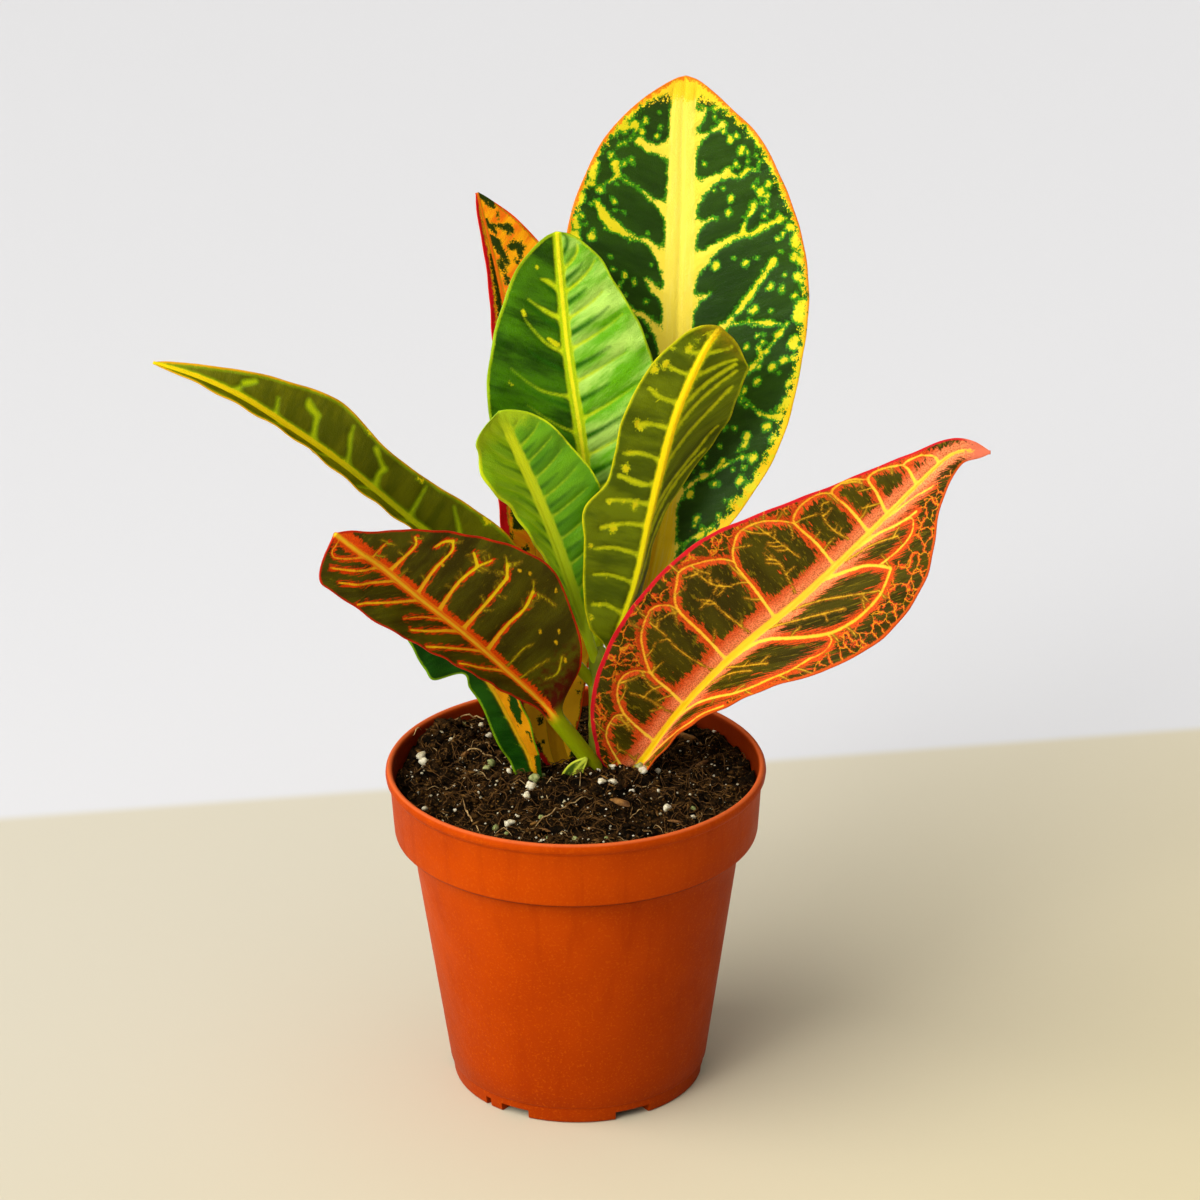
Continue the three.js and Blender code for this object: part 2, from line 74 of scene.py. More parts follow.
# what lies on the soil where the photograph shows it: (x, y, size)
WHITE_GRAINS = [
    (-42, 12, 1.5), (-41, 9, 1.3), (-18, 3, 0.9), (-17, 5, 0.8), (-12, -7, 1.4), (-13, -11, 1.1),
    (-13, -13, 0.9), (2, 3, 0.7), (7, -7, 1.1), (10, -6, 1.3), (15, -9, 0.9), (6, 3, 0.8), (10, 5, 1.2),
    (20, 5, 1.2), (18, 0, 1.4), (22, 4, 0.9), (-17, -25, 1.3), (-18, -28, 0.9), (24, -20, 1.1),
    (31, -22, 0.7), (-37, 22, 0.8), (-34, 20, 0.9), (38, 29, 0.6), (-27, 5, 0.9), (-40, -17, 0.8),
    (-24, 25, 0.9), (-26, 30, 0.8), (-3, -14, 0.5), (22, -10, 0.6),
]
GREEN_GRAINS = [
    (-23, 8, 1.3), (-24, 5, 1.0), (-11, -1, 1.3), (-9, 1, 1.0), (-21, -29, 1.3), (-31, 30, 0.9),
    (-7, -35, 0.9), (0, -36, 0.9), (-9, -24, 0.8), (31, -19, 0.9), (17, 3, 1.2), (21, 8, 1.1),
    (-18, -33, 0.6), (8, -37, 0.7),
]
BARK_BITS = [(12, -18.5, 3.2), (-30, 12, 2.0), (34, 8, 2.2), (30, 24, 3.4), (-8, -31, 1.6), (26, -28, 1.8)]

GRAIN = 0.55            # spacing of the points on a blade
BLADE = 0.5             # thickness of a blade
MARGIN_MIN = 0.5        # least half width, at the tip
WAVE_SHIFT = 1.3        # phase added to the left margin's waves and taken off the right's
WAVE_FULL_WIDTH = 8.0
RIB_TAPER = 0.72
FOLD_SOFT = 0.7         # how softly the two halves meet at the rib
FAR = 9.0               # fields on the blade stop counting at this distance
RIB_POINTS = 801        # points that measure a midrib's length
PETIOLE_GRAIN = 1.2     # spacing of the points along a petiole
END_CROWDING = 0.12     # how much closer the rows stand at base and tip
PANEL_ROOM = 4.0        # relief fades out this near to the margin
PANEL_RISE = 2.2        # how far from a vein a panel reaches its height
VEIN_DEPTH = 0.2        # how deep the veins sink
RIPPLE_TURN = 0.62      # radians of the margin's ripple to a millimetre
RIPPLE_START = 0.6      # share of the half width at which the ripple sets in
FOLD_FULL = 2.0         # how far from the rib the skin has the blade's full fold
MARGIN_THINNING = 0.35  # share of its thickness that the blade loses at the margin
CHANNEL_DEPTH, CHANNEL_HALF = 0.3, 0.7      # the groove along the top of the rib
KEEL_DEPTH, KEEL_HALF = 0.85, 0.75          # the rib below the blade, in shares of its radius
OPENS_BEFORE, OPENS_AFTER = 2, 7            # where a petiole opens into its blade, about its end
LEAF_SHIFT = 50.0       # keeps the noise of one leaf off that of the next

FLOOR_HALF = 6000.0
FLOOR_LINE_Y = 185.0    # where the floor's two tints meet

# camera of the photograph: focal length in pixels of a 1200 pixel frame, and its place
PHOTO_SIZE = 1200
FOCAL = 4000
PITCH = math.radians(22.75)
ROLL = -0.007
DISTANCE = 1053.8
TARGET = (6.8, 0.0, 138.2)

# Each leaf as in the frame: rib = points along its midrib from the stem to the tip; petiole = length
# before the blade; face = the way its upper side looks, at base and tip; left and right = half widths
# at even steps; fold = angle of each half above flat; curl = extra turn towards the margin; wave =
# height and number of waves at the margin; tip = part of the blade that rounds off its end.
LEAVES = {
    "leaf_tall": dict(
        rib=[(6, 10, 98), (13, 13.5, 118), (21, 19, 141), (26, 28, 170), (28, 38, 203), (29, 46, 231),
             (29.5, 50, 254), (30.5, 51, 266)],
        petiole=26, radius=1.9, face=[(-0.1, -1, 0.3), (-0.05, -1, 0.25)],
        left=[2, 9, 19, 26, 30, 31, 29.5, 22, 9], right=[2, 9, 21, 30, 34, 35, 31.5, 23, 11],
        fold=([14, 8, 6], [14, 8, 6]), curl=(4, 4), wave=(0.5, 3), tip=0.12),
    "leaf_back": dict(
        rib=[(6, 9, 78), (-1, 8.5, 83), (-5, 9, 91), (-7, 13, 107), (-8, 19, 131), (-11, 26.5, 156),
             (-15, 35, 187), (-19, 41, 211), (-25, 46, 236)],
        petiole=8, radius=1.8, face=[(0.1, -1, 0.3), (0.35, -1, 0.2)],
        left=[2, 9, 10.5, 11, 10.5, 9, 6, 3, 1.5], right=[2, 8.5, 13, 17, 20, 22, 21, 14.5, 3],
        fold=([12, 20, 20], [-20, 6, 6]), curl=(6, 6), wave=(0.5, 3), tip=0.06),
    "leaf_mid": dict(
        rib=[(6, 9, 116), (6.2, 13.5, 130), (4.3, 15.5, 150), (2.5, 17, 174), (-0.9, 20, 198),
             (-2.7, 23, 216.5), (-3.8, 24, 232)],
        petiole=14, radius=1.6, face=[(-0.1, -1, 0.3), (0.1, -1, 0.2)],
        left=[1.8, 8, 15, 20, 22.7, 23.1, 19.5, 13.8, 7], right=[1.8, 8, 15, 20, 22.5, 22.5, 20, 13.8, 7.5],
        fold=([16, 10, 6], [18, 14, 8]), curl=(5, 8), wave=(0.5, 3), tip=0.09),
    "leaf_small": dict(
        rib=[(6, 8, 116), (1, 6.5, 133), (-4, 5.5, 150), (-9.5, 4, 166), (-14, 3, 177.5), (-19, 2, 190.5)],
        petiole=8, radius=1.4, face=[(-0.1, -1, 0.3), (0, -1, 0.4)],
        left=[1.6, 2.6, 3.6, 4.4, 5, 5.8, 7.8, 8.6, 9.7, 12.8, 13.8, 11.6, 13],
        right=[1.6, 4, 7.5, 12, 16, 16.1, 13.6, 11, 4],
        fold=([45, 42, 36], [4, -7, -4]), curl=(5, 5), wave=(0.5, 4), tip=0.06),
    "leaf_olive": dict(
        rib=[(7, 8, 113), (11.5, 3, 127), (16.5, 3, 142), (20.5, 4.5, 161), (25.5, 7, 181.5), (29, 8.5, 192),
             (34.5, 9, 204.5), (38.6, 9, 210.6)],
        petiole=9, radius=1.5, face=[(-0.1, -1, 0.25), (-0.2, -1, 0.3)],
        left=[1.8, 9, 13, 15, 16.3, 17.9, 13.5, 13.2, 13.6, 12.4, 10.8, 7.6, 4.5],
        right=[1.8, 3, 4, 4.6, 4.8, 5.8, 8.5, 13.3, 16.5, 16, 14.1, 13, 12],
        fold=([18, 14, 8], [-68, -70, -52, -15]), curl=(4, 4), wave=(0.4, 3), tip=0.08),
    "leaf_long": dict(
        rib=[(6, 9, 109), (-4, 6, 122), (-19.5, 3, 140), (-40.5, 0, 159), (-60, -3, 178), (-75, -4, 190),
             (-85, -4, 197), (-95.5, -3, 202), (-107.5, -1, 205.5)],
        petiole=30, radius=1.6, face=[(-0.2, -0.7, 1), (0.1, -0.8, 0.9)],
        left=[1.8, 10, 13, 14, 13, 11, 8, 5, 0.8], right=[1.8, 12, 13, 11.5, 11, 13.3, 9.6, 4.5, 0.8],
        fold=([55, 56, 45], [30, 30, 25]), curl=(4, 4), wave=(0.5, 3), tip=0.03),
    "leaf_lower": dict(
        rib=[(6, 8, 84), (3.5, 4, 90), (-7, -1.5, 107), (-19.5, -8, 123), (-29.5, -15, 136),
             (-39.5, -22, 148), (-49, -29, 160), (-53.6, -33.5, 165.5), (-59.7, -37.5, 172.4)],
        petiole=26, radius=2.3, face=[(0.3, -1, 0.25), (0.2, -1, 0.4)],
        left=[1.8, 4.5, 7.8, 10.6, 11.9, 13.3, 14.1, 12.8, 12.5],
        right=[8, 19, 24.6, 28.2, 26.5, 22, 16.4, 8.1, 1.4],
        fold=([50, 46, 42, 28, 0], [12, 10, 8]), curl=(5, 5), wave=(0.5, 3), tip=0.05),
    "leaf_hero": dict(
        rib=[(7, 9, 76), (16.5, 5, 87), (28, 2, 105), (43.5, -1, 124), (59.5, -3, 139.5), (74.5, -5, 156),
             (90, -5, 173), (99, -4, 180.5), (108, -4, 180.5)],
        petiole=6, radius=2, face=[(0.1, -0.95, 0.3), (-0.2, -0.9, 0.45)],
        left=[7, 20, 27.5, 30, 28.5, 23, 15, 7, 1], right=[2, 7, 10, 14.5, 20, 23, 19, 7, 1],
        fold=([12, 10, 8], [72, 62, 18, 8, 8]), curl=(5, 5), wave=(0.8, 3), tip=0.03),
    "leaf_low": dict(
        rib=[(6, 8, 77), (1.5, 4, 80), (-0.8, 1.5, 84), (0, 0.8, 88.5), (3, 0.8, 92)],
        petiole=7, radius=0.9, face=[(-0.1, -1, 0.2), (-0.1, -1, 0.2)],
        left=[0.9, 2.5, 3.3, 3.5, 3.3, 2.8, 2.1, 1.3, 0.6], right=[0.9, 2.6, 3.6, 3.8, 3.4, 2.7, 2, 1.3, 0.6],
        fold=([10, 8, 6], [10, 8, 6]), curl=(4, 4), wave=(0.1, 2), tip=0.08),
    "leaf_droop": dict(
        rib=[(6, 9, 72), (-4, 4.5, 76), (-10, 2.5, 84), (-13, 2.5, 92.5), (-16, 2.5, 99), (-21, 3, 109.5),
             (-26, 4, 117), (-33, 5, 125), (-41, 6, 131.5), (-46, 7, 134)],
        petiole=18, radius=1.5, face=[(-0.5, -0.9, 0.3), (-0.2, -0.9, 0.4)],
        left=[1.6, 3.7, 5.2, 5.5, 5.9, 5.9, 5.5, 5.1, 5, 5, 4, 10.8, 10.6, 9.7, 7.9, 6.6, 4.6],
        right=[1.6, 5, 7, 9, 10, 11, 11, 8, 3],
        fold=([10, 10, 10], [40, 35, 30]), curl=(5, 5), wave=(0.3, 3), tip=0.12),
}


# ---------- curves ----------
def smooth_curve(points, t):
    """Uniform Catmull-Rom through points, at t in 0..1."""
    p = np.asarray(points, float)
    if p.ndim == 1:
        p = p[:, None]
    last = len(p) - 1
    x = np.clip(t, 0, 1) * last
    i = np.minimum(x.astype(int), last - 1)
    w = (x - i)[:, None]
    more = np.vstack([2 * p[0] - p[1], p, 2 * p[-1] - p[-2]])
    a, b, c, d = more[i], more[i + 1], more[i + 2], more[i + 3]
    t0, t1 = (c - a) / 2, (d - b) / 2
    return b + t0 * w + (-3 * b + 3 * c - 2 * t0 - t1) * w ** 2 + (2 * b - 2 * c + t0 + t1) * w ** 3


def smooth_step(x, low, high):
    k = np.clip((x - low) / (high - low), 0, 1)
    return k * k * (3 - 2 * k)


def even_mix(values, u):
    return np.interp(u, np.linspace(0, 1, len(values)), values)


# ---------- meshes ----------
def in_scene(name, data):
    obj = bpy.data.objects.new(name, data)
    bpy.context.scene.collection.objects.link(obj)
    return obj


def new_object(name, points, faces, smooth=True):
    """A mesh object from points in millimetres."""
    mesh = bpy.data.meshes.new(name)
    mesh.from_pydata((np.asarray(points) * MM).tolist(), [], faces)
    mesh.validate()
    if smooth:
        mesh.shade_smooth()
    else:
        mesh.shade_flat()
    return in_scene(name, mesh)


def grid_faces(rows, cols, start=0, flip=False):
    """Quads of a grid of points that are numbered row by row from start."""
    i, j = np.meshgrid(np.arange(rows - 1), np.arange(cols - 1), indexing="ij")
    a = start + i * cols + j
    quad = np.stack([a, a + 1, a + cols + 1, a + cols], -1).reshape(-1, 4)
    return quad[:, ::-1] if flip else quad


def add_field(obj, name, values):
    """A smooth value at each point of the mesh, for the material to read."""
    values = np.asarray(values, np.float32)
    kind, key = ("FLOAT", "value") if values.ndim == 1 else ("FLOAT_VECTOR", "vector")
    obj.data.attributes.new(name, kind, "POINT").data.foreach_set(key, values.ravel())


def finish_piece(obj, material, slot, *nodes):
    obj.data.materials.append(material)
    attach(obj, "root")
    if nodes:
        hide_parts(*nodes)
    return obj


# ---------- materials ----------
def rgb(red, green, blue):
    """A colour as seen, 0..255, in the linear numbers that shaders take."""
    def linear(x):
        x /= 255
        return x / 12.92 if x <= 0.04045 else ((x + 0.055) / 1.055) ** 2.4
    return linear(red), linear(green), linear(blue), 1.0


class Shader:
    """A node material made by short calls: what goes in may be a number, a colour or a socket."""

    def __init__(self, name):
        self.material = bpy.data.materials.new(name)
        self.material.use_nodes = True
        self.tree = self.material.node_tree
        self.tree.nodes.clear()
        self.colour = None

    def node(self, kind, inputs=None, **settings):
        made = self.tree.nodes.new(kind)
        for key, value in settings.items():
            setattr(made, key, value)
        for key, value in (inputs or {}).items():
            self.put(made.inputs[key], value)
        return made

    def put(self, socket, value):
        if isinstance(value, bpy.types.NodeSocket):
            self.tree.links.new(value, socket)
        else:
            socket.default_value = value

    def field(self, name, output="Fac"):
        return self.node("ShaderNodeAttribute", attribute_name=name).outputs[output]

    def place(self):
        return self.node("ShaderNodeTexCoord").outputs["Object"]

    def axis(self, vector, name):
        return self.node("ShaderNodeSeparateXYZ", {"Vector": vector}).outputs[name]

    def math(self, operation, a, b=0.0):
        return self.node("ShaderNodeMath", {0: a, 1: b}, operation=operation).outputs[0]

    def moved(self, value, by, amount):
        """value + by * amount"""
        inputs = {0: by, 1: amount, 2: value}
        return self.node("ShaderNodeMath", inputs, operation="MULTIPLY_ADD").outputs[0]

    def scaled(self, vector, scale):
        return self.node("ShaderNodeVectorMath", {0: vector, 1: scale}, operation="MULTIPLY").outputs[0]

    def shaken(self, vector, scale, amount):
        """the vector pushed about by noise, for lines that wander"""
        inputs = {"Vector": vector, "Scale": scale, "Detail": 2.0}
        push = self.node("ShaderNodeTexNoise", inputs).outputs["Color"]
        inputs = {0: push, 1: (amount,) * 3, 2: vector}
        return self.node("ShaderNodeVectorMath", inputs, operation="MULTIPLY_ADD").outputs[0]

    def noise(self, vector, scale, detail=2.0, rough=0.5):
        inputs = {"Vector": vector, "Scale": scale, "Detail": detail, "Roughness": rough}
        return self.node("ShaderNodeTexNoise", inputs).outputs["Fac"]

    def unrest(self, vector, scale):
        """noise about nought"""
        return self.math("SUBTRACT", self.noise(vector, scale, 3.0, 0.62), 0.5)

    def gaps(self, vector, scale):
        """distance to the walls between cells"""
        inputs = {"Vector": vector, "Scale": scale}
        return self.node("ShaderNodeTexVoronoi", inputs, feature="DISTANCE_TO_EDGE").outputs["Distance"]

    def ramp(self, value, low, high, start=0.0, end=1.0):
        """value moved smoothly from start at low to end at high"""
        inputs = {"Value": value, "From Min": low, "From Max": high, "To Min": start, "To Max": end}
        return self.node("ShaderNodeMapRange", inputs, interpolation_type="SMOOTHSTEP").outputs[0]

    def below(self, value, level, soft):
        """1 where value is under level, 0 above it, over a soft edge"""
        return self.ramp(value, level - soft, level + soft, 1.0, 0.0)

    def mix(self, mask, a, b):
        """a where mask is 0, b where it is 1; each is a colour as seen or a socket"""
        made = self.node("ShaderNodeMix", data_type="RGBA")
        self.put(made.inputs["Factor"], mask)
        for socket, value in ((made.inputs[6], a), (made.inputs[7], b)):
            self.put(socket, value if isinstance(value, bpy.types.NodeSocket) else rgb(*value))
        return made.outputs[2]

    def lay(self, mask, tint):
        """tint laid over the colour so far, where mask is 1"""
        self.colour = self.mix(mask, self.colour, tint)

    def finish(self, rough, height=None, relief=0.0, **inputs):
        """The material: its colour so far, and a height whose full range stands relief metres high."""
        inputs = {key.replace("_", " "): value for key, value in inputs.items()}
        inputs.update({"Base Color": self.colour, "Roughness": rough})
        if height:
            bump = self.node("ShaderNodeBump", {"Height": height, "Distance": relief, "Strength": 1.0})
            inputs["Normal"] = bump.outputs["Normal"]
        made = self.node("ShaderNodeBsdfPrincipled", inputs)
        out = self.node("ShaderNodeOutputMaterial")
        self.tree.links.new(made.outputs[0], out.inputs["Surface"])
        return self.material


# ---------- leaf material ----------
class LeafShader(Shader):
    """A shader that reads the fields of a blade; flat and grain are its two sets of coordinates."""

    def __init__(self, name):
        super().__init__(name)
        self.flat, self.grain = self.field("flat", "Vector"), self.field("grain", "Vector")
        kinds = ((self.flat, 0.5), (self.flat, 1.9), (self.grain, 1.3))
        self.unrests = [self.unrest(vector, scale) for vector, scale in kinds]

    def ragged(self, value, *amounts):
        """a field or socket made uneven by coarse, fine and combed noise"""
        value = self.field(value) if isinstance(value, str) else value
        for by, amount in zip(self.unrests, amounts):
            if amount:
                value = self.moved(value, by, amount)
        return value


def paint_ground(s, look):
    cloud = s.ramp(s.noise(s.grain, look["cloud"], 4.0, 0.65), 0.36, 0.64)
    s.colour = s.mix(cloud, *look["ground"])
    if "ground_left" in look:
        s.lay(s.ramp(s.field("side"), -0.15, 0.15), s.mix(cloud, *look["ground_left"]))
    if "base" in look:
        tint, share = look["base"]
        s.lay(s.below(s.ragged("along", 0.3, 0.05), share, 0.07), tint)
    if "mottle" in look:
        tint, level, strength = look["mottle"]
        spots = s.moved(s.noise(s.grain, 1.1, 4.0, 0.7), s.field("halo"), -0.012)
        s.lay(s.ramp(spots, level, level + 0.07, 0.0, strength), tint)


def paint_halo(s, look):
    """The glow round rib and veins, with the net and patches that have its tint."""
    near, far, stipple = look["halo"]
    speck = s.ramp(s.noise(s.flat, 2.3, 2.0, 0.7), 0.44, 0.6, 0.0, 0.55)
    halo_tint = s.mix(speck, s.mix(s.ramp(s.ragged("rib", 3.0), 0.3, 4.5), near, far), stipple)
    if "net" in look:
        tint, scale = look["net"]
        walls = s.gaps(s.shaken(s.flat, 0.4, 2.2), scale)
        cell = s.mix(s.below(s.ragged(walls, 0.5, 0.45), 0.055, 0.045), s.colour, halo_tint)
        cell = s.mix(s.below(s.ragged(walls, 0.0, 0.04), 0.012, 0.03), cell, tint)
        s.lay(s.ramp(s.ragged("outer", 0.5), 0.35, 0.65), cell)
    if "patch" in look:
        level = look["patch"]
        s.lay(s.ramp(s.noise(s.grain, 0.45, 3.0, 0.6), level, level + 0.03), halo_tint)
    s.lay(s.below(s.ragged("halo", 0.8, 1.1, look["comb"]), 0.0, 0.3), halo_tint)
    tint, width = look["thin_glow"]
    s.lay(s.below(s.ragged("thin", 1.6, 2.4), width, 0.3), tint)


def paint_lines(s, look):
    """Margin, dots and veins with their fringe, then the midrib."""
    rags = {"border": "jag", "dots": "dot_rag", "vein": "rag"}
    lights = {key: s.ragged(key, *look[rag]) for key, rag in rags.items()}
    if "fringe" in look:
        tint, width = look["fringe"]
        for light in lights.values():
            s.lay(s.below(light, width, width * 0.6), tint)
    tint, first, last = look["border"][0], look["vein"][0], look["vein"][-1]
    border_tint = s.mix(s.ramp(s.field("side"), -0.05, 0.05), look.get("border_right", tint), tint)
    s.lay(s.below(lights["border"], 0.0, 0.25), border_tint)
    s.lay(s.below(lights["dots"], 0.0, 0.25), look.get("dots", first))
    # thin veins; on the mid and small leaves these dark lines are painted shade in the creases and hollows
    s.lay(s.below(s.ragged("thin", 0.3, 0.3), 0.0, look["thin_soft"]), look.get("thin", last))
    vein_tint = s.mix(s.ramp(s.field("rib"), 2.0, 14.0), first, last)
    s.lay(s.below(lights["vein"], 0.0, look["soft"]), vein_tint)
    streaks = s.ramp(s.noise(s.scaled(s.flat, (0.12, 1.6, 1.0)), 1.0, 3.0), 0.45, 0.7, 0.0, 0.35)
    rib_tint = s.mix(s.ramp(s.field("along"), 0.1, 0.8), *look["rib"])
    rib_tint = s.mix(streaks, rib_tint, look.get("rib_streak", look["rib"][0]))
    s.lay(s.below(s.ragged("rib", 0.7, 0.3), 0.0, look["rib_soft"]), rib_tint)
    if "line" in look:
        tint, half = look["line"]
        s.lay(s.below(s.ragged("middle", 0.5), half, 0.3), tint)


def paint_ends(s, look):
    """The tip, the outermost rim, the stalk and the underside."""
    if "end" in look:
        tint, share, soft = look["end"]
        s.lay(s.ramp(s.ragged("along", 0.07, 0.07), share, share + soft), tint)
    if "rim" in look:
        tint, width, start = look["rim"]
        reach = s.below(s.ragged("edge", 3.0, 3.0), width, 0.35)
        s.lay(s.math("MULTIPLY", reach, s.ramp(s.field("along"), start, start + 0.3)), tint)
    s.lay(s.field("stalk"), look.get("stalk", look["rib"][0]))
    s.lay(s.ramp(s.field("up"), 0.3, 0.7, 0.45, 0.0), look["under"])


def leaf_material(name, look):
    """Tints laid over each other by the blade's fields, on a skin of pores and cells."""
    s = LeafShader(name)
    paint_ground(s, look)
    if "halo" in look:
        paint_halo(s, look)
    paint_lines(s, look)
    paint_ends(s, look)
    pores = s.math("MULTIPLY", s.noise(s.flat, 3.2, 4.0, 0.65), 0.5)
    cells = s.ramp(s.gaps(s.flat, 1.7), 0.0, 0.12, 0.0, 0.35)
    height = s.math("ADD", s.math("ADD", pores, cells), s.noise(s.grain, 0.9, 3.0, 0.5))
    rough = s.ramp(s.noise(s.flat, 0.4, 3.0, 0.6), 0.3, 0.7, look["rough"] - 0.06, look["rough"] + 0.08)
    return s.finish(rough, height, look["bump"], Specular_IOR_Level=look["gloss"],
                    Coat_Weight=look["coat"], Coat_Roughness=0.22)


# ---------- leaf patterns, in the leaf's own flat coordinates ----------
# A stroke is (points, half widths): the points are (mm along the blade, share of the half width, left
# positive), and the half widths are spread evenly from its first point to its last.
def pairs(path, side=1):
    """Points from a row that gives mm along the blade and percent of the half width in turn."""
    return [(at, side * out / 100) for at, out in zip(path[::2], path[1::2])]


def strokes(side, *rows):
    """Strokes from rows of half widths and paths, on the left with side 1 and on the right with -1."""
    return [(pairs(path, side), halves) for halves, *paths in rows for path in paths]


def drops(places, run, swell, halves):
    """Short dots that start at the places."""
    return [([(at, share), (at + run, share * swell)], halves) for at, share in places]


def side_veins(side, roots, lean, reach, halves, bend=0.0):
    """Side veins from the rib towards the margin, leaning towards the tip."""
    made = []
    for k, root in enumerate(roots):
        far = reach[k % len(reach)]
        points = [(root + lean * q * far + bend * (q * far) ** 2, side * q * far) for q in (0, 0.35, 0.7, 1)]
        made.append((points, halves))
    return made


def twigs(random, parents, chance, length, half, width):
    """Fine twigs that leave other strokes at random places on either hand."""
    made = []
    for points, _ in parents:
        path = smooth_curve(points, np.linspace(0, 1, 12))
        for k in range(1, 12):
            if random.random() > chance:
                continue
            run = path[k] - path[k - 1]
            run = run / (math.hypot(run[0], run[1] * width) + 1e-6)
            hand = random.choice((-1, 1))
            out = (run[0] * 0.5 - hand * run[1] * width * 0.9, run[1] * 0.5 + hand * run[0] * 0.9 / width)
            size = length * (0.6 + 0.8 * random.random())
            turn = (random.random() - 0.5) * 0.8
            mid = (path[k][0] + out[0] * size * 0.5, path[k][1] + out[1] * size * 0.5)
            end = (mid[0] + (out[0] + turn * out[1] * width) * size * 0.5,
                   mid[1] + (out[1] - turn * out[0] / width) * size * 0.5)
            made.append(([tuple(path[k]), mid, end], (half, half * 0.5)))
    return made


def spatter(random, count, blade, low, high, sizes, sides=(-1, 1), span=(0.05, 0.95), long=(0, 0.5, 1.5)):
    """Seeded dots and short dashes between two shares of the half width."""
    made = []
    for _ in range(count):
        at = blade * random.uniform(*span)
        share = random.choice(sides) * random.uniform(low, high)
        size = sizes[0] + (sizes[1] - sizes[0]) * random.random() ** 2
        run = size * random.choice(long)
        made.append(([(at, share), (at + run, share * 1.01)], (size, size * 0.7)))
    return made


def smooth_min(a, b, soft):
    near = np.maximum(soft - np.abs(a - b), 0) / soft
    return np.minimum(a, b) - near * near * soft / 4


def stroke_field(along, across, width, drawn, soft=0.3):
    """How far each point of the blade lies outside the nearest stroke, negative inside it."""
    field = np.full(across.shape, FAR)
    for points, halves in drawn:
        path = smooth_curve(points, np.linspace(0, 1, 4 * len(points)))
        sides = [np.interp(path[:, 0], along, half_blade) for half_blade in width]
        reach = path[:, 1] * np.where(path[:, 1] > 0, *sides)
        half = even_mix(halves, np.linspace(0, 1, len(path)))
        rows = slice(*np.searchsorted(along, [path[:, 0].min() - FAR, path[:, 0].max() + FAR]))
        stroke = np.full(across[rows].shape, FAR)
        for k in range(len(path) - 1):
            x, y = along[rows, None] - path[k, 0], across[rows] - reach[k]
            step_x, step_y = path[k + 1, 0] - path[k, 0], reach[k + 1] - reach[k]
            q = np.clip((x * step_x + y * step_y) / max(step_x ** 2 + step_y ** 2, 1e-9), 0, 1)
            away = np.hypot(x - q * step_x, y - q * step_y) - (half[k] + (half[k + 1] - half[k]) * q)
            stroke = np.minimum(stroke, away)
        field[rows] = smooth_min(field[rows], stroke, soft)
    return field


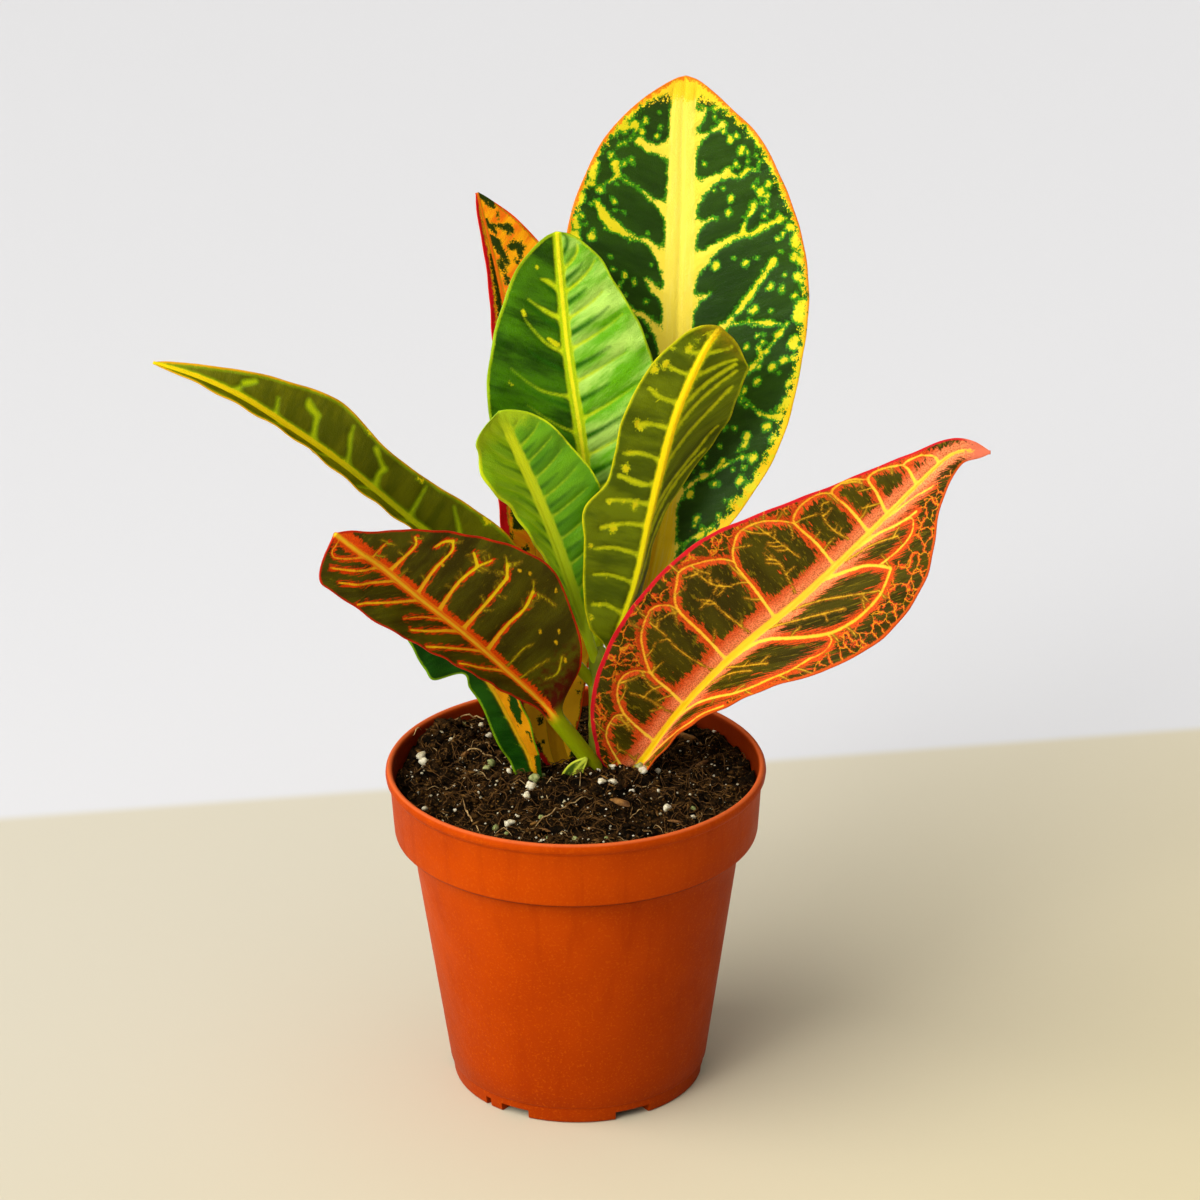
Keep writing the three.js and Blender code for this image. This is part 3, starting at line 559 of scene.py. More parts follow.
def tall_pattern(blade):
    random = Random(3)
    left = strokes(1, ((1.7, 0.9, 1.0), (131, 10, 131, 34, 133, 53)),
        ((1.9, 0.35, 0.1, 0.0, 0.2, 1.1), (114, 8, 117, 25, 120, 39, 122, 52, 124, 65, 127, 72)),
        ((0.5, -0.1, 0.2), (124, 66, 122, 74, 120, 82)),
        ((1.8, 0.6, 0.35, 0.4, 1.2, 1.2, 0.3), (99, 8, 106, 27, 107, 38, 109, 52, 112, 66, 117, 80)),
        ((1.2, 0.4), (91, 8, 93, 19, 96, 28)), ((1.3, 0.7, 0.3, 0.6), (78, 10, 85, 24, 88, 40, 92, 62)),
        ((1.1, 0.2, 0.6, -0.1), (62, 10, 67, 35, 73, 60, 76, 80)),
        ((0.9, 0.0, 0.4), (46, 10, 51, 40, 57, 70)), ((0.7, 0.0, 0.4), (31, 20, 36, 50, 42, 80)))
    right = strokes(-1, ((1.7, 0.3), (138, 8, 139, 24, 142, 41)),
        ((1.5, 0.35, 0.1, 0.9), (132, 8, 134, 24, 136, 38, 138, 59)),
        ((2.3, 1.2, 0.6, 1.2), (118, 8, 122, 24, 124, 39, 125, 46)),
        ((0.7, 0.15, 0.4, -0.1), (125, 46, 124, 57, 126, 68, 126, 80)),
        ((1.1, 0.0), (109, 8, 111, 16, 113, 27)),
        ((2.4, 1.1, 0.6, 0.5), (99, 8, 104, 24, 107, 38, 109, 51)),
        ((0.6, 0.35, 0.8, 0.1), (109, 51, 109, 59, 111, 69, 113, 84)),
        ((0.6, 0.0, 0.3, 0.8), (109, 51, 112, 54, 115, 61, 117, 65)), ((1.0, 0.0), (90, 8, 91, 14, 93, 24)),
        ((1.3, 0.9, 1.0, 0.25, 0.5, 0.8, 0.3, 0.5, 0.9), (76, 10, 82, 30, 88, 44, 92, 53, 98, 65, 102, 74)),
        ((0.7, -0.05, 0.0, 0.7, -0.1), (84, 36, 85, 39, 86, 57, 86, 68, 86, 80)),
        ((1.1, 0.3, -0.1, 0.5, -0.1, 0.3), (62, 10, 66, 30, 72, 55, 78, 70, 86, 84)),
        ((0.9, 0.0, -0.1, 0.1, 0.7), (58, 10, 62, 30, 66, 54, 64, 66, 62, 76, 62, 92)),
        ((0.8, 0.1, 0.3, -0.1, 0.2), (38, 12, 44, 33, 46, 44, 51, 67, 52, 80)),
        ((0.6, -0.1, 0.3), (22, 20, 27, 50, 33, 80)))
    big = pairs((138, 59, 137, 72, 129, 80, 120, 78, 110, 92, 97, 47, 95, 38, 107, 77, 118, -45, 114, -41,
        100, -28, 101, -51, 120, -74, 122, -83, 103, -90, 95, -70, 89, -58, 131, -68, 134, -60, 113, -84,
        83, -78, 78, -70, 74, -77, 76, -85, 70, -66, 93, -88, 45, -38, 54, -68, 51, -80, 56, -67, 45, -78,
        40, -30, 49, -52, 59, -82, 34, -50, 30, -70))
    dots = [([(at, share), (at + 0.6, share * 1.02)], (0.35 + 0.45 * random.random(),)) for at, share in big]
    dots += spatter(random, 210, blade, 0.5, 0.97, (0.05, 0.55))
    dots += spatter(random, 80, blade, 0.2, 0.65, (0.02, 0.35))
    dots += spatter(random, 80, blade, 0.9, 1.0, (0.5, 1.7), span=(0.2, 0.97))
    return dict(vein=left + right, dots=dots)


def hero_pattern(blade):
    random = Random(11)
    main, arch, fine = (0.45, 0.27, 0.2, 0.15), (0.18, 0.15), (0.13, 0.09)
    upper = strokes(1, (main, (4, 10, 7, 35, 10, 60, 14, 74, 20, 66, 22, 53),
        (19, 4, 20, 25, 22, 53, 25, 68, 29, 73, 33, 64, 35, 48),
        (33, 3, 34, 24, 35, 48, 40, 71, 44, 80, 49, 84, 52, 76, 53, 66),
        (51, 4, 52, 32, 53, 66, 57, 82, 60, 89, 65, 82, 69, 74, 71, 66),
        (69, 5, 70, 33, 71, 66, 76, 84, 81, 91, 86, 90, 90, 80, 92, 70),
        (91, 5, 92, 37, 92, 70, 95, 84, 99, 92, 103, 94, 105, 87),
        (104, 5, 105, 49, 105, 87, 108, 97, 111, 96, 114, 81),
        (111, 6, 113, 46, 114, 81, 117, 91, 120, 87, 123, 73), (122, 8, 123, 51, 123, 73, 125, 80, 128, 77),
        (130, 3, 130, 44, 128, 77)))
    under = strokes(-1, ((0.3, 0.24), (8, 10, 20, 45, 30, 80, 44, 93)),
        ((0.4, 0.24), (26, 5, 36, 33, 44, 63, 50, 81, 61, 84, 71, 75)), ((0.45, 0.3),
        (50, 2, 62, 14, 70, 37, 78, 57, 84, 62, 89, 63, 96, 61, 102, 51),
        (86, 2, 91, 11, 97, 24, 100, 37, 102, 51)), (arch, (100, 37, 109, 47, 113, 48, 115, 38, 113, 27)),
        ((0.35, 0.25), (99, 3, 106, 10, 113, 27, 117, 38)),
        (arch, (111, 4, 119, 16, 125, 43), (78, 57, 78, 67, 75, 75, 71, 75)))
    within = strokes(1, (fine, (11, 10, 12, 30, 12, 50), (29, 6, 29, 41, 28, 57),
        (46, 5, 45, 38, 46, 62, 46, 77), (61, 6, 60, 37, 60, 50, 58, 59), (66, 49, 63, 61, 62, 81),
        (78, 8, 81, 42, 79, 52), (86, 35, 85, 70, 84, 89), (99, 14, 98, 39, 99, 63, 101, 78)))
    within += strokes(-1, (fine, (38, 8, 49, 30, 56, 55), (49, 10, 55, 39, 61, 57),
        (74, 4, 82, 19, 89, 37, 96, 58), (66, 5, 76, 25, 86, 45), (94, 4, 103, 15, 109, 33)))
    beyond = twigs(random, [s for s in upper[:8] + under[:4] if len(s[0]) > 5], 0.55, 5.0, 0.13, 25)
    return dict(vein=upper + under, thin=within + twigs(random, within, 0.28, 2.6, 0.1, 25) + beyond)


def lower_pattern(blade):
    random = Random(5)
    vein, fork, fine = (0.75, 0.52, 0.45, 0.5), (0.42, 0.3), (0.2, 0.15)
    upper = strokes(-1, (vein, (30.5, 0, 32, 32, 32, 56, 34, 72), (41.5, 0, 42, 37, 43, 67)),
        (fork, (43, 67, 46, 80)), (vein, (51.5, 0, 53, 38, 52, 64)),
        (fork, (52, 64, 56, 78), (52, 64, 50, 77)), ((0.65, 0.4, 0.3), (60.5, 0, 62, 39, 62, 71, 64, 86)),
        (fork, (64, 86, 66, 81, 67, 70)), ((0.6, 0.4, 0.3), (72.5, 0, 72, 35, 72, 63, 74, 82)),
        ((0.35, 0.2), (80, 0, 79, 60)))
    thin = strokes(-1, (fine, (16.5, 0, 16, 28, 15, 47), (22, 0, 23, 30, 22, 42), (69, 0, 69, 22),
        (46, 80, 48, 86), (34, 72, 37, 80), (11, 30, 10, 50, 13, 66), (34, 72, 29, 80, 26, 84)))
    lefts = strokes(1, ((0.3, 0.22), (20, 0, 30, 55, 41, 90)), ((0.3, 0.24), (30, 0, 44, 61, 54, 94)),
        ((0.4, 0.25), (41, 0, 52, 49, 60, 77)), ((0.2, 0.12), (47, 0, 57, 35, 63, 62)),
        ((0.35, 0.22), (58, 0, 68, 46, 80, 95)), ((0.35, 0.2), (68, 0, 77, 40, 86, 76)),
        ((0.3, 0.18), (75, 0, 83, 35, 90, 61)), (fine, (82, 0, 88, 30, 92, 42, 92, 10)))
    big = pairs((42, -80, 39, -83, 23, -56, 19, -75, 17, -66, 11, -68, 29, -91, 61, -50))
    return dict(vein=upper + lefts, thin=thin + twigs(random, upper, 0.3, 2.4, 0.12, 28),
                dots=drops(big, 0.8, 1.01, (0.35,)))


def mid_pattern(blade):
    veins = side_veins(-1, [10, 22, 33, 43, 53, 63, 72, 80, 87, 93], 9, (0.84, 0.7), (0.35, 0.12), 2)
    # painted shade: dark wedges in the creases between the right half's veins
    crease_shades = side_veins(-1, [5, 16, 27, 38, 48, 58, 67, 76, 84, 90, 97], 9, (0.55, 0.7, 0.45),
        (0.95, 0.1), 2)
    streaks = strokes(1, ((0.4, 0.6, 0.1), (89, 8, 91, 25, 92, 40)),
        ((0.6, 0.5, 0.1), (81, 7, 83, 25, 87, 58)), ((0.5, 0.3, 0.1), (72, 6, 75, 27, 82, 59)),
        ((0.3, 0.1), (60, 6, 63, 36, 70, 71)), ((0.3, 0.0), (50, 6, 54, 30, 60, 55),
        (40, 6, 44, 30, 50, 55), (28, 6, 33, 35, 38, 60), (18, 8, 22, 35, 27, 60)))
    dots = strokes(1, ((0.7, 0.5), (74, 12, 76, 24)), ((0.6,), (83, 60, 84, 64)),
        ((0.3,), (66, 70, 67, 74)), ((0.35,), (95, 50, 95.5, 54)))
    # painted shade in the hollows between the left half's veins
    hollow_shades = side_veins(1, [12, 24, 35, 46, 56, 66, 77, 86], 14, (0.62, 0.5), (0.5, 0.05), 3)
    return dict(vein=veins + streaks, thin=crease_shades + hollow_shades, dots=dots)


def small_pattern(blade):
    left = side_veins(1, [8, 15, 22, 29, 35, 41, 47, 54, 61, 66], 14, (0.8,), (0.25, 0.06), 4)
    right = side_veins(-1, [6, 14, 22, 30, 37, 43, 49, 54, 59, 64], 4, (0.82,), (0.3, 0.08), 2)
    # painted shade in the hollows between the veins, drawn as thin veins
    hollow_shades = side_veins(1, [11, 18, 26, 32, 38, 44, 51, 58], 14, (0.6, 0.45), (0.5, 0.05), 4)
    hollow_shades += side_veins(-1, [10, 18, 26, 34, 40, 46, 52, 57], 4, (0.65, 0.5), (0.7, 0.05), 2)
    return dict(vein=left + right, thin=hollow_shades)


def olive_pattern(blade):
    random = Random(9)
    left = strokes(1, ((0.4, 0.2, 0.5), (87, 4, 86, 30, 86, 50)), ((0.3, 0.15), (80, 5, 80, 62)),
        ((0.4, 0.2, 0.35, 0.15), (72, 4, 72, 47, 73, 76)), ((0.4, 0.2, 0.7), (65, 4, 65, 40, 64, 62)),
        ((0.4, 0.2, 0.4, 0.2), (56, 3, 57, 43, 56, 82)), ((0.5, 0.3, 0.6, 0.25), (50, 3, 49, 33, 50, 81)),
        ((0.4, 0.2, 0.3), (44, 3, 44, 46, 43, 75)), ((0.4, 0.25, 0.4), (38, 3, 38, 32, 36, 70)),
        ((0.3, 0.15), (30, 5, 31, 52, 30, 82)),
        ((0.3, 0.12), (22, 5, 23, 50, 22, 80), (13, 10, 14, 50, 13, 80)), ((0.25, 0.1), (92, 5, 92, 40)))
    right = strokes(-1, ((0.25, 0.1), (87, 5, 90, 30, 93, 60)), ((0.3, 0.15), (80, 5, 85, 35, 90, 70)),
        ((0.35, 0.25), (71, 4, 79, 30, 88, 70)), ((0.35, 0.2), (64, 4, 75, 35, 86, 78)),
        ((0.35, 0.22), (54, 6, 68, 45, 81, 82)), ((0.3, 0.2), (40, 10, 54, 60, 68, 86)),
        ((0.3, 0.15), (30, 10, 44, 50, 60, 90)), ((0.25, 0.15), (16, 20, 30, 60, 44, 90)))
    big = pairs((80, 74, 78, 88, 64, 68, 43, 30, 86, 47, 36, 53, 52, 72))
    thin = twigs(random, left, 0.1, 1.6, 0.05, 16)
    small = spatter(random, 12, blade, 0.4, 0.9, (0.15, 0.5), sides=(1,))
    return dict(vein=left + right, thin=thin, dots=drops(big, 0.9, 1.03, (0.8, 0.5)) + small)


def long_pattern(blade):
    right = strokes(-1, ((0.5, 0.3, 0.5), (76, 3, 78, 33, 79, 53)),
        ((0.5, 0.8, 0.2), (79, 53, 82, 63, 83, 73)),
        ((0.3, 0.1, 0.2, -0.1), (65, 3, 67, 35, 69, 58, 70, 80)),
        ((0.6, 0.4, 0.5), (55, 2, 57, 37, 57, 58)), ((0.4, 0.1, 0.4), (57, 58, 60, 71, 62, 82)),
        ((0.3, 0.15, 0.0), (43, 3, 44, 43, 45, 85)), ((0.6, 0.3, -0.1), (26, 5, 29, 40, 35, 80)),
        ((0.3, 0.0), (100, 20, 99, 50)), ((0.5, 0.4), (99, 53, 97, 70)), ((0.3, 0.0), (88, 5, 90, 50)),
        ((0.3, 0.1), (14, 10, 18, 70)))
    left = side_veins(1, [14, 28, 42, 56, 70, 84], 8, (0.8,), (0.3, 0.12))
    dots = strokes(-1, ((0.9, 0.5), (65, 2, 67, 10)), ((0.7, 0.3), (25, 93, 27, 97)),
        ((0.5, 0.3), (66, 97, 67, 100)), ((0.4,), (47, 90, 48, 92)))
    return dict(vein=left + right, dots=dots)


def back_pattern(blade):
    random = Random(8)
    spots = strokes(1, ((0.5, 1.1, 0.9, 1.0, 0.3), (144, 25, 141, 22, 138, 20, 135, 28, 129, 36, 122, 40)),
        ((0.8, 1.1, 0.5), (122, 60, 114, 60, 108, 70)), ((0.9, 0.4), (118, 20, 110, 25)))
    spots += strokes(-1, ((0.7, 0.9, 0.8), (161, 60, 159, 80, 157, 72)),
        ((0.7, 0.9, 0.3), (153, 7, 151, 17, 149, 20)),
        ((0.6, 1.3, 1.0, 0.4), (149, 7, 147, 14, 144, 19, 141, 23)), ((0.7, 0.4), (142, 10, 139, 15)),
        ((0.5, 0.7), (138, 12, 136, 15)), ((0.4, 0.2), (154, 55, 153, 48)),
        ((0.4, 1.0, 0.8), (151, 42, 150, 55, 149, 62)), ((0.7, 1.2, 0.6), (145, 40, 145, 55, 144, 64)),
        ((0.9, 0.5), (145, 55, 142, 50)), ((0.5, 0.4), (141, 39, 140.5, 40)), ((0.3,), (13, 50, 13.5, 50)),
        ((0.9, 1.2), (9, 0, 5, 5)), ((0.8,), (7, 85, 6, 90)), ((0.4,), (14, 77, 14, 80)))
    spots += strokes(1, ((0.6,), (18, 42, 18.5, 44), (11, 78, 12, 80)))
    spots += spatter(random, 60, blade, 0.1, 0.85, (0.4, 1.6), span=(0.35, 0.82), long=(0.5, 2, 4))
    spots += spatter(random, 24, blade, 0.1, 0.85, (0.05, 0.4), span=(0.06, 0.35), long=(0, 0.5))
    return dict(vein=side_veins(-1, range(24, 140, 13), 12, (0.7,), (0.1, -0.1)), dots=spots)


def droop_pattern(blade):
    random = Random(7)
    veins = side_veins(1, range(6, 66, 9), 6, (0.6,), (0.1, -0.2), 3)
    spots = strokes(-1, ((1.6, 2.4, 1.2), (31, 75, 28, 62, 24, 50)), ((1.5, 2.0), (12, 90, 4, 80)),
        ((1.2, 2.0), (48, 30, 60, 50)), ((0.6,), (20, 80, 18, 85)))
    spots += spatter(random, 10, blade, 0.3, 0.9, (0.1, 0.6), sides=(-1,))
    return dict(vein=veins + strokes(1, ((0.4, 0.2), (52, 40, 54, 40))), dots=spots)


def low_pattern(blade):
    reach, halves = (0.6,), (0.12, 0.08)
    left = side_veins(1, (3.5, 6.5, 9.5, 12.5), 2, reach, halves, 3)
    return dict(vein=left + side_veins(-1, (0.5, 3.5, 6.5, 9.5), 2, reach, halves, 3))


# How each leaf looks. Colours are as seen, 0..255, and lengths are millimetres. Values in a list run in
# even steps from base to tip, and pairs of values or lists are left, right. Of two rib tints the first
# is nearer the base, and of two vein or halo tints the first is nearer the rib.
#   ground, ground_left, cloud: two tints mixed in clouds, those of the left half, scale of the clouds
#   mottle: tint, level and strength of the blotches; base: tint and share of the blade's foot
#   vein, thin, dots, rib, rib_streak, stalk, under: tints
#   soft, thin_soft, rib_soft: soft edge of veins, thin veins and rib
#   jag, rag, dot_rag, comb: how ragged the margin, the veins, the dots and the halo are
#   border: tint and widths of the margin; border_right: its tint on the right
#   fringe: tint and width round margin, veins and dots; rim: tint, width and first share of the edge
#   halo: tints of the glow, the third for its specks; glow, vein_glow, glow_soft: its reach from the
#   rib, from the veins, and how softly they join; thin_glow, line: tint and reach round thin veins and
#   along the rib's middle; end: tint of the tip, from which share of the blade, and over how much
#   net: tint and scale of the mesh of fine veins; outer: from where it lies; patch: level of its patches
#   rib_half: half width of the rib; crest: its height; merge: how softly veins run into it
#   slope: mm along per mm across that the side veins lean; bulge, ripple: relief of panels and margin
#   rough, gloss, coat, bump: the surface; grain: spacing of the blade's points
PLAIN_LOOK = dict(
    cloud=0.14, comb=2.6, jag=(0.5, 0.5), rag=(0.5, 0.3), dot_rag=(0.8, 0.8), soft=0.24, thin_soft=0.2,
    rib_soft=0.25, merge=0.8, glow_soft=0.8, crest=0.25, ripple=0.25, grain=GRAIN,
    rough=0.36, gloss=0.1, coat=0.0, bump=0.00014)

LOOKS = {
    "leaf_tall": dict(
        slot="leaf_dark", pattern=tall_pattern, ground=[(30, 58, 3), (42, 74, 6)], slope=(0.3, 0.35),
        vein=[(255, 226, 64), (236, 216, 24)], rib=[(255, 214, 0), (255, 230, 80)], merge=2.6,
        rib_streak=(255, 234, 110), rib_half=[8, 6, 3.2, 3.3, 3.8, 4.0, 3.8, 3.4, 3], bulge=(0.16, 0.25),
        border=[(252, 204, 8), [1, 1.2, 1.2, 0.8, 0.6, 0.8, 0.8, 1.2, 1.2],
                [1, 2.2, 2.4, 1.8, 1.4, 0.8, 1.2, 1.4, 1.2]],
        dots=(232, 216, 20), fringe=((62, 146, 4), 0.55), jag=(7.0, 5.0), rag=(2.4, 1.8), dot_rag=(2.0, 1.8),
        rim=((246, 128, 6), 0.7, 0.45), base=((255, 206, 6), 0.1), end=((254, 214, 34), 0.957, 0.006),
        under=(150, 150, 60), stalk=(228, 190, 20), gloss=0.25),
    "leaf_back": dict(
        slot="leaf_orange", pattern=back_pattern, ground=[(250, 168, 8), (242, 112, 10)], cloud=0.3,
        base=((255, 190, 26), 0.3), vein=[(246, 150, 10)], rib=[(206, 146, 8), (242, 104, 12)],
        rib_half=[2, 1.5, 1.2, 1, 0.5, 0.2], dots=(40, 54, 4), fringe=((176, 140, 8), 0.25),
        border=[(206, 14, 22), [0.8, 1.6, 2.2, 2.4, 2.0, 1.4, 1.0, 0.8], [0.4, 0.5, 0.5, 0.5, 0.5]],
        border_right=(224, 70, 8), jag=(1.6, 1.2), dot_rag=(3.0, 2.6), stalk=(190, 150, 20),
        under=(200, 120, 60), slope=(0.8, 0.8), bulge=(0.2, 0.2)),
    "leaf_mid": dict(
        # the light tint of the right half's ground and the mottle are partly painted sheen, and the dark
        # ground of the left half is partly painted shade
        slot="leaf_bright", pattern=mid_pattern, ground=[(96, 164, 4), (176, 214, 90)], slope=(0.5, 0.6),
        ground_left=[(32, 70, 0), (72, 126, 2)], vein=[(210, 226, 10), (154, 194, 20)], soft=0.5,
        rib=[(190, 208, 4), (170, 200, 6)], rib_half=[1.7, 1.6, 1.5, 1.4, 1.2, 1.0], rib_soft=0.7,
        line=((250, 240, 30), 0.5), dots=(226, 222, 10), border=[(160, 190, 10), [0.7], [0.5]],
        # thin here is the tint of painted shade in the creases and hollows
        mottle=((176, 216, 80), 0.57, 0.4), thin=(34, 96, 0), thin_soft=0.7, under=(130, 170, 70),
        bulge=(0.4, 1.1), merge=1.3, ripple=0.3, rough=0.3, gloss=0.15, coat=0.05, bump=0.00022),
    "leaf_small": dict(
        slot="leaf_bright", pattern=small_pattern, ground=[(80, 140, 2), (108, 168, 6)], slope=(1.2, 0.3),
        ground_left=[(124, 172, 3), (148, 188, 6)], vein=[(170, 202, 14), (144, 188, 10)], soft=0.4,
        # thin here is the tint of painted shade in the hollows between the veins
        thin=(56, 112, 2), thin_soft=0.6, rib=[(176, 204, 10), (216, 226, 10)], rib_soft=0.6,
        rib_half=[1.5, 1.6, 1.6, 1.5, 1.4, 1.2], end=((168, 194, 8), 0.88, 0.1), under=(130, 170, 70),
        border=[(210, 226, 8), [0.5, 0.6, 0.9], [0.4]], bulge=(0.4, 0.5), merge=1.2, gloss=0.3),
    "leaf_olive": dict(
        slot="leaf_olive", pattern=olive_pattern, ground=[(68, 80, 1), (100, 112, 3)], slope=(0.05, 1.6),
        vein=[(184, 186, 8), (204, 200, 12)], soft=0.4, rib=[(216, 208, 6), (255, 208, 8)],
        rib_half=[1.0, 1.1, 1.2, 1.3, 1.1, 0.7], dots=(200, 184, 8), fringe=((140, 150, 4), 0.4),
        border=[(206, 194, 4), [0.25], [0.15]], jag=(0.6, 0.4), rag=(1.0, 0.8), dot_rag=(3.0, 2.4),
        end=((140, 116, 3), 0.93, 0.1), under=(130, 130, 50), bulge=(0.35, 0.25)),
    "leaf_long": dict(
        slot="leaf_olive", pattern=long_pattern, ground=[(78, 82, 1), (104, 104, 2)], slope=(0.2, 0.2),
        vein=[(176, 194, 4), (168, 166, 4)], soft=0.5, rib=[(170, 190, 6), (238, 200, 2)],
        rib_half=[1.4, 1.5, 1.3, 1.3, 1.1, 0.6], dots=(230, 206, 2), fringe=((118, 136, 2), 0.6),
        border=[(206, 150, 4), [0.4], [0.4, 0.4, 0.6]], dot_rag=(3.0, 2.0), under=(150, 140, 60),
        bulge=(0.25, 0.4), merge=1.2),
    "leaf_lower": dict(
        slot="leaf_red", pattern=lower_pattern, ground=[(60, 52, 2), (84, 80, 3)], slope=(1.3, 0.05),
        base=((80, 16, 4), 0.1), mottle=((118, 102, 6), 0.57, 0.6), vein_glow=0.5, comb=4.0,
        halo=[(242, 84, 6), (226, 64, 2), (196, 44, 2)],
        glow=[[0.5, 0.7, 0.8, 0.8, 1.2], [1.0, 1.3, 1.3, 1.4, 2.4]],
        vein=[(255, 186, 22), (250, 212, 14)], soft=0.16, rag=(0.35, 0.3), thin=(206, 190, 8),
        thin_glow=((120, 96, 6), 0.4), dots=(226, 176, 8), rib=[(248, 100, 6), (250, 112, 10)],
        rib_half=[0.7, 0.9, 1.0, 1.0, 0.9, 0.6], rib_soft=0.5, line=((255, 196, 34), 0.42),
        border=[(196, 36, 6), [0.35], [0.5, 0.45, 0.45, 0.35]], stalk=(150, 164, 4), under=(120, 70, 50),
        bulge=(0.4, 0.45), merge=0.6),
    "leaf_hero": dict(
        slot="leaf_red", pattern=hero_pattern, ground=[(50, 42, 2), (70, 62, 3)], slope=(0.15, 2.2),
        mottle=((132, 110, 8), 0.53, 0.6), halo=[(255, 150, 92), (216, 78, 20), (154, 34, 8)],
        glow=[[4.0, 4.3, 4.6, 4.4, 4.0, 3.2, 2.2, 1.4], [0.8, 1.0, 1.5, 1.9, 1.9, 1.6, 1.4, 1]],
        vein_glow=1.15, glow_soft=3.0, comb=6.0, net=((220, 160, 16), 0.27), patch=0.66,
        outer=[pairs((0, 70, 15, 76, 29, 76, 35, 60, 44, 82, 50, 85, 55, 78, 60, 90, 70, 76, 80, 92, 90, 82,
                      100, 93, 109, 97, 115, 88, 123, 86, 130, 90)),
               pairs((0, 60, 30, 85, 50, 84, 61, 86, 71, 78, 79, 64, 89, 66, 98, 62, 103, 54, 113, 50,
                      120, 40, 128, 50, 135, 90))],
        vein=[(255, 208, 60), (250, 184, 40)], soft=0.2, rag=(0.5, 0.4), thin=(236, 180, 34),
        thin_glow=((128, 84, 8), 0.3), rib=[(238, 200, 8), (255, 190, 50)], rib_streak=(255, 214, 70),
        rib_half=[1.15, 1.15, 1.0, 0.8, 0.5, 0.25], rib_soft=0.5, end=((228, 116, 84), 0.945, 0.03),
        border=[(206, 24, 34), [1.1, 1.1, 1.0, 0.8, 0.6, 0.4], [0.5, 0.6, 0.8, 0.8, 0.6, 0.4]],
        border_right=(200, 76, 14), jag=(0.8, 0.8), stalk=(226, 170, 20), under=(190, 90, 70),
        bulge=(0.6, 0.5), merge=0.7, grain=0.42),
    "leaf_low": dict(
        slot="leaf_dark", pattern=low_pattern, ground=[(70, 92, 20), (50, 76, 12)], slope=(0.3, 0.3),
        vein=[(150, 160, 40)], rib=[(180, 190, 50), (190, 200, 60)], rib_half=[0.5, 0.4, 0.3],
        border=[(206, 214, 60), [0.45], [0.45]], jag=(0.2, 0.1), under=(130, 140, 60), bulge=(0, 0)),
    "leaf_droop": dict(
        slot="leaf_dark", pattern=droop_pattern, ground=[(222, 146, 10), (196, 122, 8)], slope=(0.4, 0.4),
        ground_left=[(12, 54, 3), (30, 78, 6)], vein=[(120, 150, 10)], rib=[(210, 150, 12), (180, 140, 10)],
        rib_half=[0.4, 0.5, 0.5, 0.4, 0.3], dots=(20, 58, 4), mottle=((70, 116, 8), 0.6, 0.5),
        border=[(110, 150, 8), [0.5], [0.4]], dot_rag=(3.0, 2.4), stalk=(120, 168, 8),
        under=(120, 140, 60), bulge=(0.2, 0.2)),
}


# ---------- leaves ----------
def unit(vectors):
    return vectors / np.linalg.norm(vectors, axis=1, keepdims=True)


def leaf_grid(leaf, spacing):
    """Everything about the blade's points, along it and across it, that doesn't depend on its pattern."""
    rib = smooth_curve(leaf["rib"], np.linspace(0, 1, RIB_POINTS))
    steps = np.r_[0, np.cumsum(np.linalg.norm(np.diff(rib, axis=0), axis=1))]
    length, petiole = steps[-1], leaf["petiole"]
    blade = length - petiole

    def spot(s):
        return np.stack([np.interp(s, steps, rib[:, k]) for k in range(3)], -1)

    k = np.linspace(0, 1, int(blade / spacing) + 1)
    crowded = END_CROWDING * (1 - np.cos(k * math.pi)) / 2 + (1 - END_CROWDING) * k
    stalk = np.linspace(0, petiole, max(int(petiole / PETIOLE_GRAIN), 4), endpoint=False)
    s = np.r_[stalk, petiole + blade * crowded]
    u = np.maximum((s - petiole) / blade, 0)
    tangent = unit(spot(np.minimum(s + 0.5, length)) - spot(np.maximum(s - 0.5, 0)))
    share = (s / length)[:, None]
    normal = np.array(leaf["face"][0]) * (1 - share) + np.array(leaf["face"][1]) * share
    normal = unit(normal - (normal * tangent).sum(1, keepdims=True) * tangent)
    into = np.maximum((u - 1 + leaf["tip"]) / leaf["tip"], 0)
    tip_share = np.sqrt(np.maximum(1 - into ** 2, 0))
    widths = [np.maximum(np.maximum(smooth_curve(leaf[key], u)[:, 0], 0) * tip_share, MARGIN_MIN)
              for key in ("left", "right")]
    half_cols = int(max(w.max() for w in widths) / spacing)
    t = np.r_[np.linspace(1, 0, half_cols, endpoint=False), np.linspace(0, 1, half_cols + 1)]
    side = np.r_[np.ones(half_cols), -np.ones(half_cols + 1)]
    width = np.where(side > 0, *(w[:, None] for w in widths))
    return SimpleNamespace(
        s=s, u=u, t=t, side=side, left=side > 0, blade=blade, along=s - petiole, centre=spot(s),
        normal=normal, aside=np.cross(normal, tangent), widths=widths, width=width, reach=width * t,
        across=width * t * side)


def both(g, pair):
    """Even steps along the blade, one list for the left half and one for the right."""
    return np.where(g.left, even_mix(pair[0], g.u)[:, None], even_mix(pair[1], g.u)[:, None])


